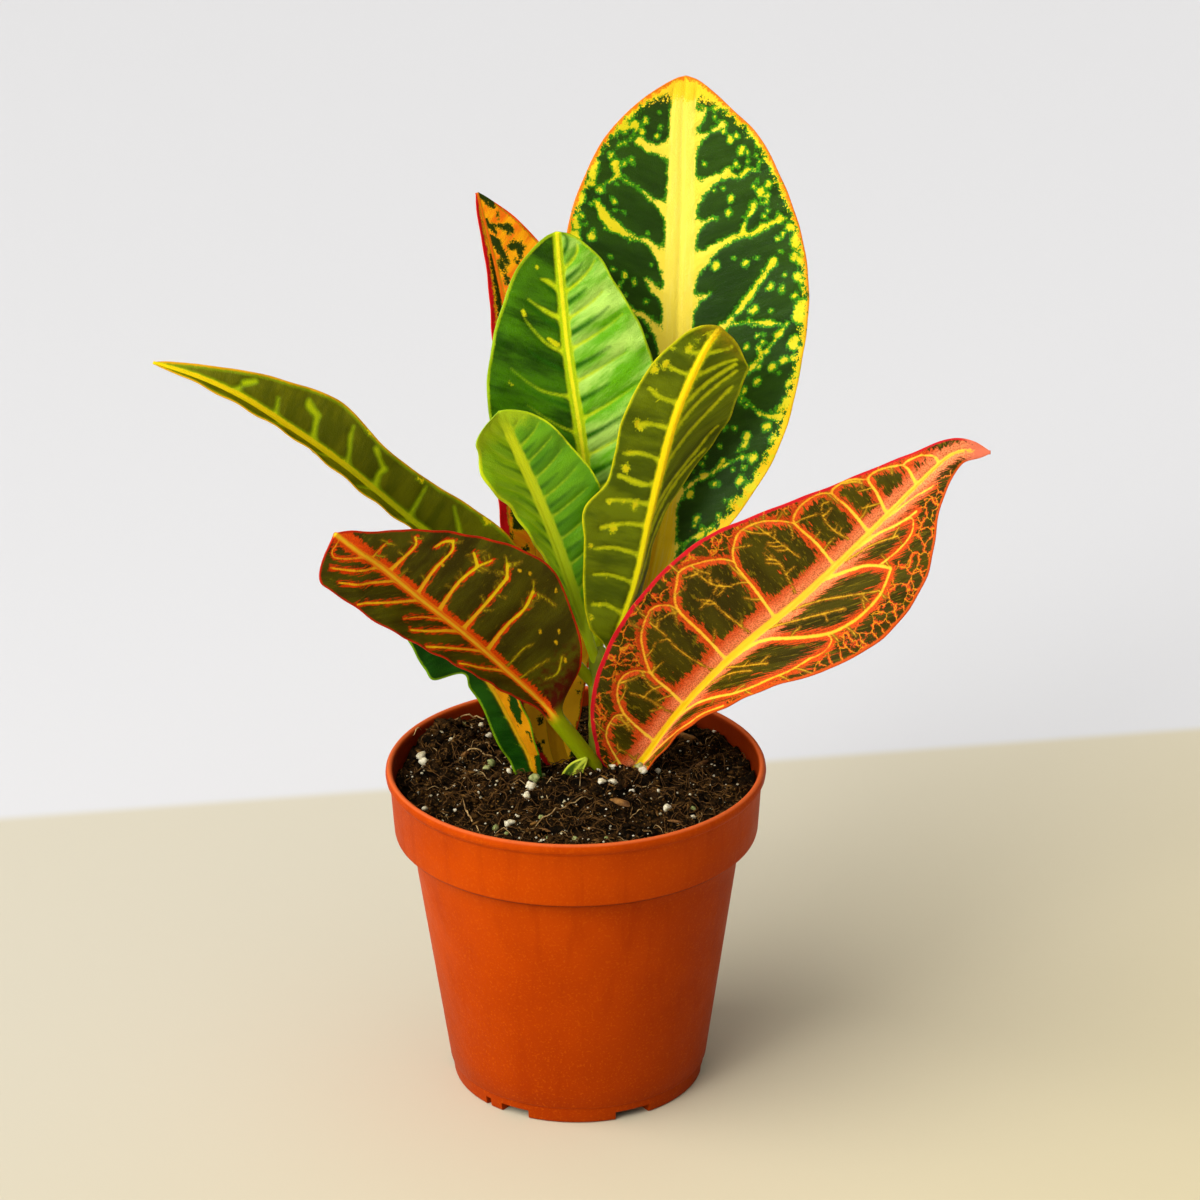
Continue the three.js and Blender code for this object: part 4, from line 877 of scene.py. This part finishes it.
def leaf_fields(g, look):
    """The fields that the leaf's material reads, at every point of the blade."""
    def away(drawn_strokes):
        return stroke_field(g.along, g.across, g.widths, drawn_strokes)

    drawn = look["pattern"](g.blade)
    field = {key: away(drawn.get(key, [])) for key in ("vein", "thin", "dots")}
    margin = [([(at, side) for at in np.linspace(0, g.blade, 60)], (0,)) for side in (1, -1)]
    edge = np.minimum(away(margin), g.width - np.abs(g.across))
    rib = np.abs(g.across) - even_mix(look["rib_half"], g.u)[:, None]
    field["vein"] = smooth_min(field["vein"], rib, look["merge"])
    halo = np.full(g.across.shape, FAR)
    if "glow" in look:
        halo = smooth_min(field["vein"] - look["vein_glow"], rib - both(g, look["glow"]), look["glow_soft"])
    outer = np.zeros(g.across.shape)
    if "outer" in look:
        arch = [np.interp(g.along, *zip(*points))[:, None] for points in look["outer"]]
        outer = smooth_step(np.abs(g.across) - g.width * np.where(g.left, *arch), -0.3, 0.5)
    field.update(
        rib=rib, edge=edge, border=edge - both(g, look["border"][1:]), halo=halo, outer=outer,
        stalk=1 - smooth_step(g.along[:, None], -1.5, 3.5), along=g.u[:, None], side=g.across / 8,
        middle=np.abs(g.across))
    return field


def leaf_relief(g, leaf, look, field):
    """How far the blade stands off its plain form: waves, panels between sunken veins, a margin ripple."""
    full = np.minimum(g.width / WAVE_FULL_WIDTH, 1)
    phase = 2 * math.pi * leaf["wave"][1] * g.u[:, None] + g.side * WAVE_SHIFT
    wave = leaf["wave"][0] * full * g.t ** 2 * np.sin(phase)
    bulge = np.where(g.left, *look["bulge"])
    room = smooth_step(field["edge"], 0.0, PANEL_ROOM)
    lift = bulge * (1 - np.exp(-np.maximum(field["vein"], 0) / PANEL_RISE)) * room
    lift -= VEIN_DEPTH * np.exp(-(np.minimum(field["vein"], 3) / 0.5) ** 2) * room * (bulge > 0.15)
    ripple = look["ripple"] * np.sin(g.along[:, None] * RIPPLE_TURN + g.side * 1.7 + g.across * 0.2) \
        * smooth_step(g.t, RIPPLE_START, 1.0) * full
    return wave + lift + ripple


def leaf_skins(g, leaf, look, relief):
    """The points of the upper and of the lower skin: a folded blade that opens from a round petiole."""
    def e(x):
        return np.broadcast_to(x, g.across.shape)[..., None]

    normal, aside, centre = (x[:, None, :] for x in (g.normal, g.aside, g.centre))
    fold = np.radians(both(g, leaf["fold"]))
    turn = np.radians(np.where(g.left, *leaf["curl"])) * g.t
    angle = (fold + turn) * smooth_step(g.reach, 0.0, FOLD_FULL)
    skin = normal * e(np.cos(angle)) - aside * e(g.side * np.sin(angle))
    soft = np.sqrt(g.reach ** 2 + FOLD_SOFT ** 2) - FOLD_SOFT
    middle = centre + aside * e(g.side * g.reach * np.cos(fold + turn / 2)) \
        + normal * e(soft * np.sin(fold + turn / 2)) + skin * e(relief)

    radius = (leaf["radius"] * (1 - RIB_TAPER * g.u))[:, None]
    rib_half = even_mix(look["rib_half"], g.u)[:, None]
    half_blade = BLADE / 2 * (1 - MARGIN_THINNING * g.t ** 6)
    channel = CHANNEL_DEPTH * np.exp(-(g.reach / CHANNEL_HALF) ** 2) * np.minimum(radius / 1.2, 1)
    keel = KEEL_DEPTH * radius * np.exp(-(g.reach / (KEEL_HALF * radius)) ** 2)
    crest = look["crest"] * np.exp(-(g.reach / np.maximum(rib_half * 0.8, 0.6)) ** 2)
    upper = middle + skin * e(half_blade + crest - channel)
    lower = middle - skin * e(half_blade + keel)

    turn_round = np.pi * (np.arange(len(g.t)) + 0.5) / len(g.t)
    foot = leaf["petiole"]
    open_up = e(smooth_step(g.s, foot - OPENS_BEFORE, foot + OPENS_AFTER)[:, None])
    round_aside = aside * e(radius * np.cos(turn_round))
    round_up = normal * e(radius * np.sin(turn_round))
    upper = (centre + round_aside + round_up) * (1 - open_up) + upper * open_up
    lower = (centre + round_aside - round_up) * (1 - open_up) + lower * open_up
    return upper, lower


def blade_faces(rows, cols):
    """Both skins, the lower numbered after the upper, and the strips that close them at four edges."""
    count = rows * cols
    i, j = np.arange(rows - 1) * cols, np.arange(cols - 1)
    last = count - cols + j
    strips = [
        (i, i + cols, i + cols + count, i + count),
        (i + cols - 1, i + cols - 1 + count, i + 2 * cols - 1 + count, i + 2 * cols - 1),
        (j, j + count, j + 1 + count, j + 1),
        (last, last + 1, last + 1 + count, last + count),
    ]
    skins = [grid_faces(rows, cols), grid_faces(rows, cols, count, flip=True)]
    return np.vstack(skins + [np.stack(strip, -1) for strip in strips])


def leaf_piece(name, leaf, look):
    """A fine thin blade on its petiole, with relief along its veins and fields for its material."""
    g = leaf_grid(leaf, look["grain"])
    field = leaf_fields(g, look)
    skins = leaf_skins(g, leaf, look, leaf_relief(g, leaf, look, field))
    rows, cols = g.across.shape
    points = np.vstack([skin.reshape(-1, 3) for skin in skins])
    obj = new_object(name + "_blade", points, blade_faces(rows, cols).tolist())

    def twice(x):
        return np.tile(np.broadcast_to(x, (rows, cols)).ravel(), 2)

    for key, values in field.items():
        add_field(obj, key, twice(values))
    add_field(obj, "up", np.repeat([1.0, 0.0], rows * cols))
    shift = LEAF_SHIFT * (sorted(LEAVES).index(name) + 1)
    level = np.zeros(2 * rows * cols)
    add_field(obj, "flat", np.stack([twice(g.along[:, None]) + shift, twice(g.across), level], -1))
    slant = g.along[:, None] - np.abs(g.across) * np.where(g.left, *look["slope"])
    add_field(obj, "grain", np.stack([twice(slant) + shift, twice(g.across * 0.3), level], -1))
    return finish_piece(obj, leaf_material(name + "_skin", look), look["slot"], name)


# ---------- turned forms ----------
def ring(radius, z, angles):
    return [(radius * math.cos(a), radius * math.sin(a), z) for a in angles]


def even_angles(sides):
    return np.linspace(0, 2 * math.pi, sides, endpoint=False)


def ring_faces(sides, rings):
    """Faces of stacked rings between a point at the foot, numbered first, and one above, numbered last."""
    faces = []
    last = 1 + (rings - 1) * sides
    for k in range(sides):
        n = (k + 1) % sides
        faces.append((0, 1 + n, 1 + k))
        for a in range(1, last, sides):
            faces.append((a + k, a + n, a + sides + n, a + sides + k))
        faces.append((last + k, last + n, last + sides))
    return faces


def lathe(name, profile, sides):
    """A closed turned solid: the profile runs from the axis at the foot to the axis above."""
    points = [(0, 0, profile[0][1])]
    for r, z in profile[1:-1]:
        points += ring(r, z, even_angles(sides))
    points.append((0, 0, profile[-1][1]))
    return new_object(name, points, ring_faces(sides, len(profile) - 2))


# ---------- pot ----------
def body_radius(z):
    return CREASE_R + (z - CREASE_Z) * (BODY_TOP_R - CREASE_R) / (BAND_FOOT_Z - CREASE_Z)


def inner_radius(z):
    if z < STEP_Z:
        return body_radius(z) - WALL
    return BAND_FOOT_R + (z - BAND_FOOT_Z) * (BAND_TOP_R - BAND_FOOT_R) / (BAND_TOP_Z - BAND_FOOT_Z) - WALL


def pot_profile():
    """The wall's outline as (radius, height): up the outside, over the lip and down the inside."""
    foot = [
        (0, 0), (BASE_R - 2, 0), (BASE_R - 0.6, 0.05), (BASE_R - 0.15, 0.3), (BASE_R, 0.8),
        (BASE_R + 0.35, CREASE_Z - 0.9), (BASE_R + 0.4, CREASE_Z - 0.35), (CREASE_R - 0.15, CREASE_Z),
        (CREASE_R + 0.05, CREASE_Z + 0.3),
    ]
    heights = [CREASE_Z + 0.3 + (BAND_FOOT_Z - CREASE_Z - 0.9) * k / 11 for k in range(1, 12)]
    band = [
        (BODY_TOP_R + 0.25, BAND_FOOT_Z - 0.15), (BODY_TOP_R + 0.8, BAND_FOOT_Z),
        (BAND_FOOT_R - 1.2, BAND_FOOT_Z), (BAND_FOOT_R - 0.45, BAND_FOOT_Z + 0.12),
        (BAND_FOOT_R - 0.1, BAND_FOOT_Z + 0.5), (BAND_FOOT_R + 0.05, BAND_FOOT_Z + 1.1),
        (BAND_TOP_R - 0.5, 80), (BAND_TOP_R - 0.05, BAND_TOP_Z - 0.6), (BAND_TOP_R + 0.15, BAND_TOP_Z),
    ]
    lip = [
        (LIP_R - 0.45, BAND_TOP_Z + 0.4), (LIP_R - 0.1, BAND_TOP_Z + 0.9), (LIP_R, POT_H - 1.6),
        (LIP_R - 0.12, POT_H - 0.8), (LIP_R - 0.45, POT_H - 0.25), (LIP_R - 0.9, POT_H),
        (LIP_R - 1.4, POT_H - 0.1), (LIP_R - 1.8, POT_H - 0.5),
    ]
    inside = [
        (inner_radius(POT_H - 2), POT_H - 1.6), (inner_radius(80), 80),
        (inner_radius(STEP_Z + 0.4), STEP_Z + 0.3), (inner_radius(STEP_Z - 0.01) + 1, STEP_Z),
        (inner_radius(STEP_Z - 0.4), STEP_Z - 0.4), (inner_radius(40), 40),
        (inner_radius(FLOOR + 0.8), FLOOR + 0.8), (inner_radius(FLOOR) - 0.8, FLOOR), (0, FLOOR),
    ]
    return foot + [(body_radius(z), z) for z in heights] + band + lip + inside


def slot_cutter(heading, width):
    """A wedge of the foot, heading and width in degrees from the front towards +X."""
    angles = [math.radians(heading - 90 - width / 2 + width * k / 6) for k in range(7)]
    points = []
    for z in (-1, SLOT_H):
        points += ring(BASE_R + 4, z, angles) + ring(BASE_R - SLOT_DEPTH, z, reversed(angles))
    n = len(angles) * 2
    faces = [tuple(reversed(range(n))), tuple(range(n, 2 * n))]
    faces += [(k, (k + 1) % n, n + (k + 1) % n, n + k) for k in range(n)]
    return new_object("cutter", points, faces, smooth=False)


def pot_piece():
    pot = lathe("pot_shell", pot_profile(), POT_SIDES)
    cutters = [slot_cutter(heading, width) for heading, width in SLOTS]
    for cutter in cutters:
        change = pot.modifiers.new("slot", "BOOLEAN")
        change.operation, change.object, change.solver = "DIFFERENCE", cutter, "EXACT"
    solid = bpy.data.meshes.new_from_object(pot.evaluated_get(bpy.context.evaluated_depsgraph_get()))
    pot.modifiers.clear()
    pot.data = solid
    for cutter in cutters:
        bpy.data.objects.remove(cutter)
    pot.data.shade_smooth()
    pot.data.set_sharp_from_angle(angle=math.radians(50))
    return finish_piece(pot, pot_material(), "pot", "pot")


def pot_material():
    """Warm plastic, darker towards its foot, with painted shade under the band and on the inside of the wall,
    a painted highlight along the lip, and dust.
    """
    s = Shader("pot_plastic")
    place = s.place()
    up = s.axis(place, "Z")
    from_axis = s.node("ShaderNodeVectorMath", {0: s.scaled(place, (1.0, 1.0, 0.0))}, operation="LENGTH")
    band_foot, top, inside_r = BAND_FOOT_Z * MM, POT_H * MM, SHADE_R * MM
    grain = s.noise(place, 1600.0, 2.0, 0.6)
    dust = s.noise(place, 420.0, 4.0, 0.7)
    streak = s.noise(s.scaled(place, (60.0, 60.0, 5.0)), 4.0, 3.0, 0.55)
    # painted shade in the crease under the band
    under_band_shade = s.math("MULTIPLY", s.ramp(up, band_foot - 0.003, band_foot - 0.0003),
                        s.ramp(up, band_foot + 0.0001, band_foot + 0.0008, 0.9, 0.0))
    # painted shade on the inside of the wall, above the soil
    inside = s.math("MULTIPLY", s.below(from_axis.outputs["Value"], inside_r, 0.0003),
                    s.ramp(up, SHADE_FOOT_Z * MM, SHADE_FULL_Z * MM, 0.0, 0.8))
    s.colour = s.mix(s.ramp(s.noise(place, 26.0, 3.0, 0.6), 0.35, 0.65), (168, 56, 0), (180, 63, 0))
    s.lay(s.ramp(up, 0.0, 0.075, 0.5, 0.0), (136, 40, 0))
    s.lay(s.ramp(grain, 0.54, 0.68, 0.0, 0.4), (196, 84, 6))
    s.lay(s.ramp(dust, 0.68, 0.76, 0.0, 0.25), (196, 104, 40))
    s.lay(s.ramp(streak, 0.5, 0.75, 0.0, 0.3), (146, 42, 0))
    s.lay(under_band_shade, (78, 20, 0))
    s.lay(inside, (92, 24, 4))
    # a painted highlight along the top of the lip
    s.lay(s.ramp(up, top - 0.0007, top - 0.0001, 0.0, 0.5), (224, 112, 60))
    height = s.math("ADD", s.math("MULTIPLY", grain, 0.5), s.noise(place, 300.0, 3.0, 0.5))
    rough = s.ramp(s.noise(place, 90.0, 3.0, 0.6), 0.3, 0.7, 0.42, 0.52)
    return s.finish(rough, height, 0.00014, Specular_IOR_Level=0.03)


# ---------- soil ----------
def soil_height(x, y):
    waves = 0.7 * np.sin(0.41 * x + 1.3) * np.cos(0.37 * y - 0.6) + 0.5 * np.sin(0.83 * x - 0.52 * y) \
        + 0.35 * np.cos(0.61 * x + 1.07 * y + 2)
    mound = 2 * np.exp(-((x - STEM_X) ** 2 + (y - STEM_Y) ** 2) / 500)
    clump = 4.2 * np.exp(-((x - CLUMP_X) ** 2 + (y - CLUMP_Y) ** 2) / 130)
    return SOIL_Z + waves + mound + clump


def rough_height(x, y):
    """The soil's height with its small lumps."""
    lumps = noise.fractal(Vector((x * 0.35, y * 0.35, 3.0)), 0.9, 2.0, 4)
    return float(soil_height(x, y)) - 0.5 + 1.2 * lumps


def soil_bed():
    """The mix that fills the pot, with an uneven top."""
    low = FLOOR + SOIL_GAP
    rim = inner_radius(SOIL_Z - 1) - SOIL_GAP
    wall = [
        (inner_radius(low) - 1.5, low), (inner_radius(low + 1.2) - SOIL_GAP, low + 1.2),
        (inner_radius(STEP_Z - 0.02) - SOIL_GAP, STEP_Z + SOIL_GAP),
        (inner_radius(STEP_Z + SOIL_GAP) - SOIL_GAP, STEP_Z + SOIL_GAP),
    ]
    angles = even_angles(BED_SIDES)
    points = [(0, 0, low)]
    for r, z in wall:
        points += ring(r, z, angles)
    for k in range(BED_RINGS):
        level = ring(rim * (1 - k / BED_RINGS), 0, angles)
        points += [(x, y, rough_height(x, y)) for x, y, _ in level]
    points.append((0, 0, rough_height(0, 0)))
    bed = new_object("soil_bed", points, ring_faces(BED_SIDES, len(wall) + BED_RINGS))
    return finish_piece(bed, soil_material("peat", (12, 7, 1), (46, 28, 8)), "soil", "soil")


def soil_material(name, dark, light):
    """Peat: a dark and a lighter tint, pale specks, and near-black patches of painted shade for its hollows.
    """
    s = Shader(name)
    place = s.place()
    s.colour = s.mix(s.ramp(s.noise(place, 420.0, 4.0, 0.65), 0.4, 0.66), dark, light)
    s.lay(s.ramp(s.noise(place, 1500.0, 3.0, 0.7), 0.6, 0.68), (142, 100, 42))
    # painted shade: near-black patches for the hollows between crumbs
    s.lay(s.ramp(s.noise(place, 180.0, 2.0), 0.48, 0.62, 0.0, 0.85), (8, 5, 2))
    return s.finish(0.9, s.noise(place, 900.0, 5.0, 0.7), 0.0007, Specular_IOR_Level=0.15)


def plain_material(name, one, two, scale, rough, relief):
    """Two tints mixed in clouds of the noise's scale, on an uneven skin."""
    s = Shader(name)
    place = s.place()
    s.colour = s.mix(s.ramp(s.noise(place, scale, 4.0, 0.65), 0.35, 0.65), one, two)
    return s.finish(rough, s.noise(place, scale * 2.5, 4.0, 0.7), relief, Specular_IOR_Level=0.3)


def ball(level):
    """Points and faces of a small round lump, to be scattered."""
    made = bmesh.new()
    bmesh.ops.create_icosphere(made, subdivisions=level, radius=1.0)
    points = np.array([v.co[:] for v in made.verts])
    faces = np.array([[v.index for v in f.verts] for f in made.faces])
    made.free()
    return points, faces


def scatter_lumps(name, material, random, places, squash=(0.6, 1.0), knobs=0.35, level=2, sink=0.2, tilt=3.0):
    """Irregular grains at (x, y, size) on the soil, in one piece."""
    base, faces = ball(level)

    def knobbly(fineness, shift):
        return np.array([noise.noise(Vector(p * fineness) + Vector(shift)) for p in base])

    all_points, all_faces = [], []
    for index, (x, y, size) in enumerate(places):
        spin = Matrix.Rotation(random.uniform(0, 6.3), 3, "Z")
        lean = Matrix.Rotation(random.uniform(0, tilt), 3, "X")
        shape = np.array([1.0, random.uniform(*squash), random.uniform(*squash)])
        rough, finer = knobbly(1.3, (index * 3.1, 0, 0)), knobbly(3.1, (index * 5.7, 2, 0))
        lump = base * (1 + knobs * rough + 0.5 * knobs * finer)[:, None] * shape * size
        lump = lump @ np.array(spin @ lean).T + np.array([x, y, rough_height(x, y) + size * (0.5 - sink)])
        all_faces.append(faces + len(all_points) * len(base))
        all_points.append(lump)
    made = new_object(name, np.vstack(all_points), np.vstack(all_faces).tolist())
    return finish_piece(made, material, "soil")


def on_soil(random, spread=0.96):
    """A random place on the soil, clear of the stem."""
    rim = (inner_radius(SOIL_Z) - 0.8) * spread
    while True:
        x, y = random.uniform(-rim, rim), random.uniform(-rim, rim)
        if math.hypot(x, y) < rim and math.hypot(x - STEM_X, y - STEM_Y) > STEM_R + 2:
            return x, y


def strewn(random, count, least, more, power):
    """Random (x, y, size) on the soil; a higher power makes more of them small."""
    return [(*on_soil(random), least + more * random.random() ** power) for _ in range(count)]


def wandering(random, length, wiggle, rise):
    """The path of a fine root or fibre that lies on the soil, dipping into it at its ends."""
    x, y = on_soil(random, 0.93)
    heading, turn = random.uniform(0, 6.3), random.gauss(0, wiggle)
    size, high = random.uniform(*length), random.uniform(*rise)
    steps = max(int(size / 0.9), 4)
    path = []
    for k in range(steps + 1):
        turn = 0.7 * turn + random.gauss(0, wiggle)
        heading += turn
        x, y = x + math.cos(heading) * size / steps, y + math.sin(heading) * size / steps
        away = math.hypot(x, y) / (inner_radius(SOIL_Z) - 1.2)
        if away > 1:
            x, y, heading = x / away, y / away, heading + 0.8
        q = 2 * k / steps - 1
        arch = high * (1 - q * q) - 0.5 * q ** 4
        path.append((x, y, rough_height(x, y) + 0.25 + arch + 0.15 * math.sin(3 * heading)))
    return path


def laid(*places):
    """A path given by (x, y, height above the soil)."""
    path = smooth_curve(places, np.linspace(0, 1, 5 * len(places)))
    return [(x, y, rough_height(x, y) + up) for x, y, up in path]


def tubes(name, material, drawn):
    """Thin tapered tubes along paths, each (path, radius), in one piece."""
    sides = 5
    around = even_angles(sides)
    points, faces = [], []
    for path, radius in drawn:
        path = np.array(path)
        run = np.gradient(path, axis=0)
        flat_run = np.hypot(run[:, 0], run[:, 1]) + 1e-9
        across = np.stack([-run[:, 1] / flat_run, run[:, 0] / flat_run, np.zeros(len(path))], -1)
        up = np.cross(unit(run), across)
        start, last = len(points), len(path) - 1
        for k, spot in enumerate(path):
            thick = radius * (1 - 0.75 * abs(2 * k / last - 1) ** 3)
            points += [spot + thick * (across[k] * math.cos(w) + up[k] * math.sin(w)) for w in around]
        for a in range(start, start + last * sides, sides):
            nexts = [(j, (j + 1) % sides) for j in range(sides)]
            faces += [(a + j, a + n, a + sides + n, a + sides + j) for j, n in nexts]
        faces.append(tuple(start + j for j in reversed(range(sides))))
        faces.append(tuple(start + last * sides + j for j in range(sides)))
    return finish_piece(new_object(name, points, faces), material, "soil")


def strew_lumps(random):
    """Crumbs, splinters, perlite and bark; the order of the random draws makes the scene what it is."""
    crumbs = strewn(random, 2600, 0.3, 1.1, 3)
    clump = [(CLUMP_X + random.gauss(0, 4.5), CLUMP_Y + 1 + random.gauss(0, 4), 0.8 + 1.2 * random.random())
             for _ in range(90)]
    crumbs += [(x, y, size) for x, y, size in clump if math.hypot(x, y) < CLUMP_LIMIT_R]
    scatter_lumps("soil_crumbs", soil_material("crumbs", (16, 9, 2), (72, 46, 14)), random, crumbs,
                  knobs=1.1, level=1, squash=(0.35, 0.9))
    chip = plain_material("chips", (122, 84, 32), (46, 28, 8), 500.0, 0.8, 0.0003)
    scatter_lumps("soil_chips", chip, random, strewn(random, 900, 0.5, 1.4, 2), squash=(0.08, 0.25),
                  knobs=0.5, level=1, sink=0.0)
    white = plain_material("perlite", (240, 230, 200), (190, 176, 130), 900.0, 0.85, 0.0003)
    green = plain_material("mossy_perlite", (176, 176, 112), (112, 122, 62), 800.0, 0.85, 0.0003)
    specks = strewn(random, 560, 0.12, 0.34, 3)
    scatter_lumps("soil_perlite", white, random, specks + WHITE_GRAINS, knobs=0.55, sink=-0.3)
    scatter_lumps("soil_perlite_green", green, random, GREEN_GRAINS, knobs=0.55, sink=-0.3)
    bark = plain_material("bark", (150, 104, 48), (84, 52, 22), 420.0, 0.75, 0.0004)
    scatter_lumps("soil_bark", bark, random, BARK_BITS, squash=(0.2, 0.3), level=3, sink=-0.2, tilt=0.3)


def strew_threads(random):
    """Dark root hairs and pale fibres, and five long fibres where the photograph shows them."""
    dark = [(wandering(random, (3, 13), 0.28, (-0.2, 1.6)), random.uniform(0.06, 0.15)) for _ in range(560)]
    pale = [(wandering(random, (2, 8), 0.12, (0.0, 1.0)), random.uniform(0.05, 0.12)) for _ in range(80)]
    pale += [
        (laid((-30, -15, 0.6), (-28, -22, 0.9), (-25, -32, 0.5)), 0.24),
        (laid((-12, -31, 0.6), (-4, -21, 1.3), (5, -12, 0.6)), 0.2),
        (laid((-37, 28, 0.2), (-31, 31, 2.6), (-25, 32, 3.0), (-20, 28, 0.4)), 0.22),
        (laid((-33, 12, 0.2), (-26, 14, 1.2), (-20, 9, 0.3)), 0.2),
        (laid((-42, 26, 0.5), (-43, 23, 2.2), (-44.5, 20, 2.6)), 0.16),
    ]
    tubes("soil_roots", plain_material("root", (112, 76, 30), (50, 30, 10), 700.0, 0.8, 0.0001), dark)
    tubes("soil_fibres", plain_material("fibre", (206, 172, 112), (128, 94, 50), 700.0, 0.75, 0.0001), pale)


# ---------- stem ----------
def stem_piece():
    """A round stem that slims upwards, with three swellings where leaves have grown."""
    height = STEM_TOP_Z - STEM_FOOT_Z
    profile = [(0, STEM_FOOT_Z), (STEM_R * 0.9, STEM_FOOT_Z)]
    for k in range(60):
        z = STEM_FOOT_Z + 1 + (height - 3) * k / 59
        swell = sum(high * math.exp(-((z - at) / half) ** 2) for at, high, half in STEM_SWELLINGS)
        profile.append((STEM_R * (1 - 0.12 * (z - STEM_FOOT_Z) / height) + swell, z))
    profile += [(STEM_R * 0.55, STEM_TOP_Z - 0.6), (0, STEM_TOP_Z)]
    stem = lathe("stem_bark", profile, sides=40)
    stem.data.transform(Matrix.Translation((STEM_X * MM, STEM_Y * MM, 0)))
    return finish_piece(stem, stem_material(), "stem", "stem")


def stem_material():
    """Young green bark with brown flecks."""
    s = Shader("young_bark")
    place = s.place()
    s.colour = s.mix(s.ramp(s.noise(place, 160.0, 4.0, 0.6), 0.35, 0.65), (118, 134, 20), (146, 152, 34))
    s.lay(s.ramp(s.noise(place, 900.0, 3.0, 0.7), 0.6, 0.7, 0.0, 0.6), (100, 84, 30))
    return s.finish(0.55, s.noise(place, 700.0, 4.0, 0.6), 0.0002)


# ---------- stage ----------
def make_floor():
    """A matt ground in two tints that meet in a slanting line behind the object."""
    corners = [(x * FLOOR_HALF, y * FLOOR_HALF, 0) for x, y in ((-1, -1), (1, -1), (1, 1), (-1, 1))]
    floor = new_object("floor", corners, [(0, 1, 2, 3)], smooth=False)
    s = Shader("floor_paint")
    x, y = (s.axis(s.place(), name) for name in "XY")
    line_y = FLOOR_LINE_Y * MM
    s.colour = s.mix(s.ramp(s.moved(x, y, -1.0), -0.25, 0.35), (204, 196, 175), (208, 194, 156))
    s.lay(s.ramp(s.moved(y, x, -0.16), line_y - 0.004, line_y + 0.004), (213, 212, 212))
    floor.data.materials.append(s.finish(0.7, Specular_IOR_Level=0.2))


def make_light(name, kind, place, power, aim=(0, 0, 0), **settings):
    """A lamp at a place in metres that looks at its aim."""
    lamp = bpy.data.lights.new(name, kind)
    lamp.energy = power
    for key, value in settings.items():
        setattr(lamp, key, value)
    obj = in_scene(name, lamp)
    obj.location = place
    obj.rotation_euler = (Vector(aim) - Vector(place)).to_track_quat("-Z", "Y").to_euler()
    return obj


def make_lights():
    """Two wide suns from the left and from above, and a small window that alone makes sheen."""
    key = make_light("key", "SUN", place=(-0.74, -0.42, 0.54), power=3.8, angle=math.radians(75))
    top = make_light("top", "SUN", place=(-0.1, -0.15, 1.0), power=1.2, angle=math.radians(90))
    make_light("window", "AREA", place=(-0.7, -0.9, 0.9), aim=(0, 0, 0.16), power=4.0, size=0.35)
    key.visible_glossy = top.visible_glossy = False


def make_world(tint, strength):
    world = bpy.data.worlds.new("studio")
    bpy.context.scene.world = world
    world.use_nodes = True
    light = world.node_tree.nodes["Background"].inputs
    light["Color"].default_value = (*tint, 1)
    light["Strength"].default_value = strength
    world.cycles_visibility.glossy = False


def make_camera():
    ahead = Vector((0, math.cos(PITCH), -math.sin(PITCH)))
    right = Vector((1, 0, 0))
    up = right.cross(ahead)
    rolled_right = math.cos(ROLL) * right + math.sin(ROLL) * up
    rolled_up = -math.sin(ROLL) * right + math.cos(ROLL) * up
    place = (Vector(TARGET) - DISTANCE * ahead) * MM
    data = bpy.data.cameras.new("camera")
    data.sensor_width = 36.0
    data.lens = data.sensor_width * FOCAL / PHOTO_SIZE
    camera = in_scene("camera", data)
    turn = Matrix((rolled_right, rolled_up, -ahead)).transposed()
    camera.matrix_world = Matrix.Translation(place) @ turn.to_4x4()
    bpy.context.scene.camera = camera


# ---------- the object ----------
make_camera()
make_floor()
make_world(tint=(1.0, 1.0, 1.0), strength=0.2)
make_lights()
bpy.context.scene.view_settings.view_transform = "Standard"

pot_piece()
soil_bed()
litter_random = Random(21)
strew_lumps(litter_random)
strew_threads(litter_random)
stem_piece()
for leaf_name, leaf_shape in LEAVES.items():
    leaf_piece(leaf_name, leaf_shape, {**PLAIN_LOOK, **LOOKS[leaf_name]})
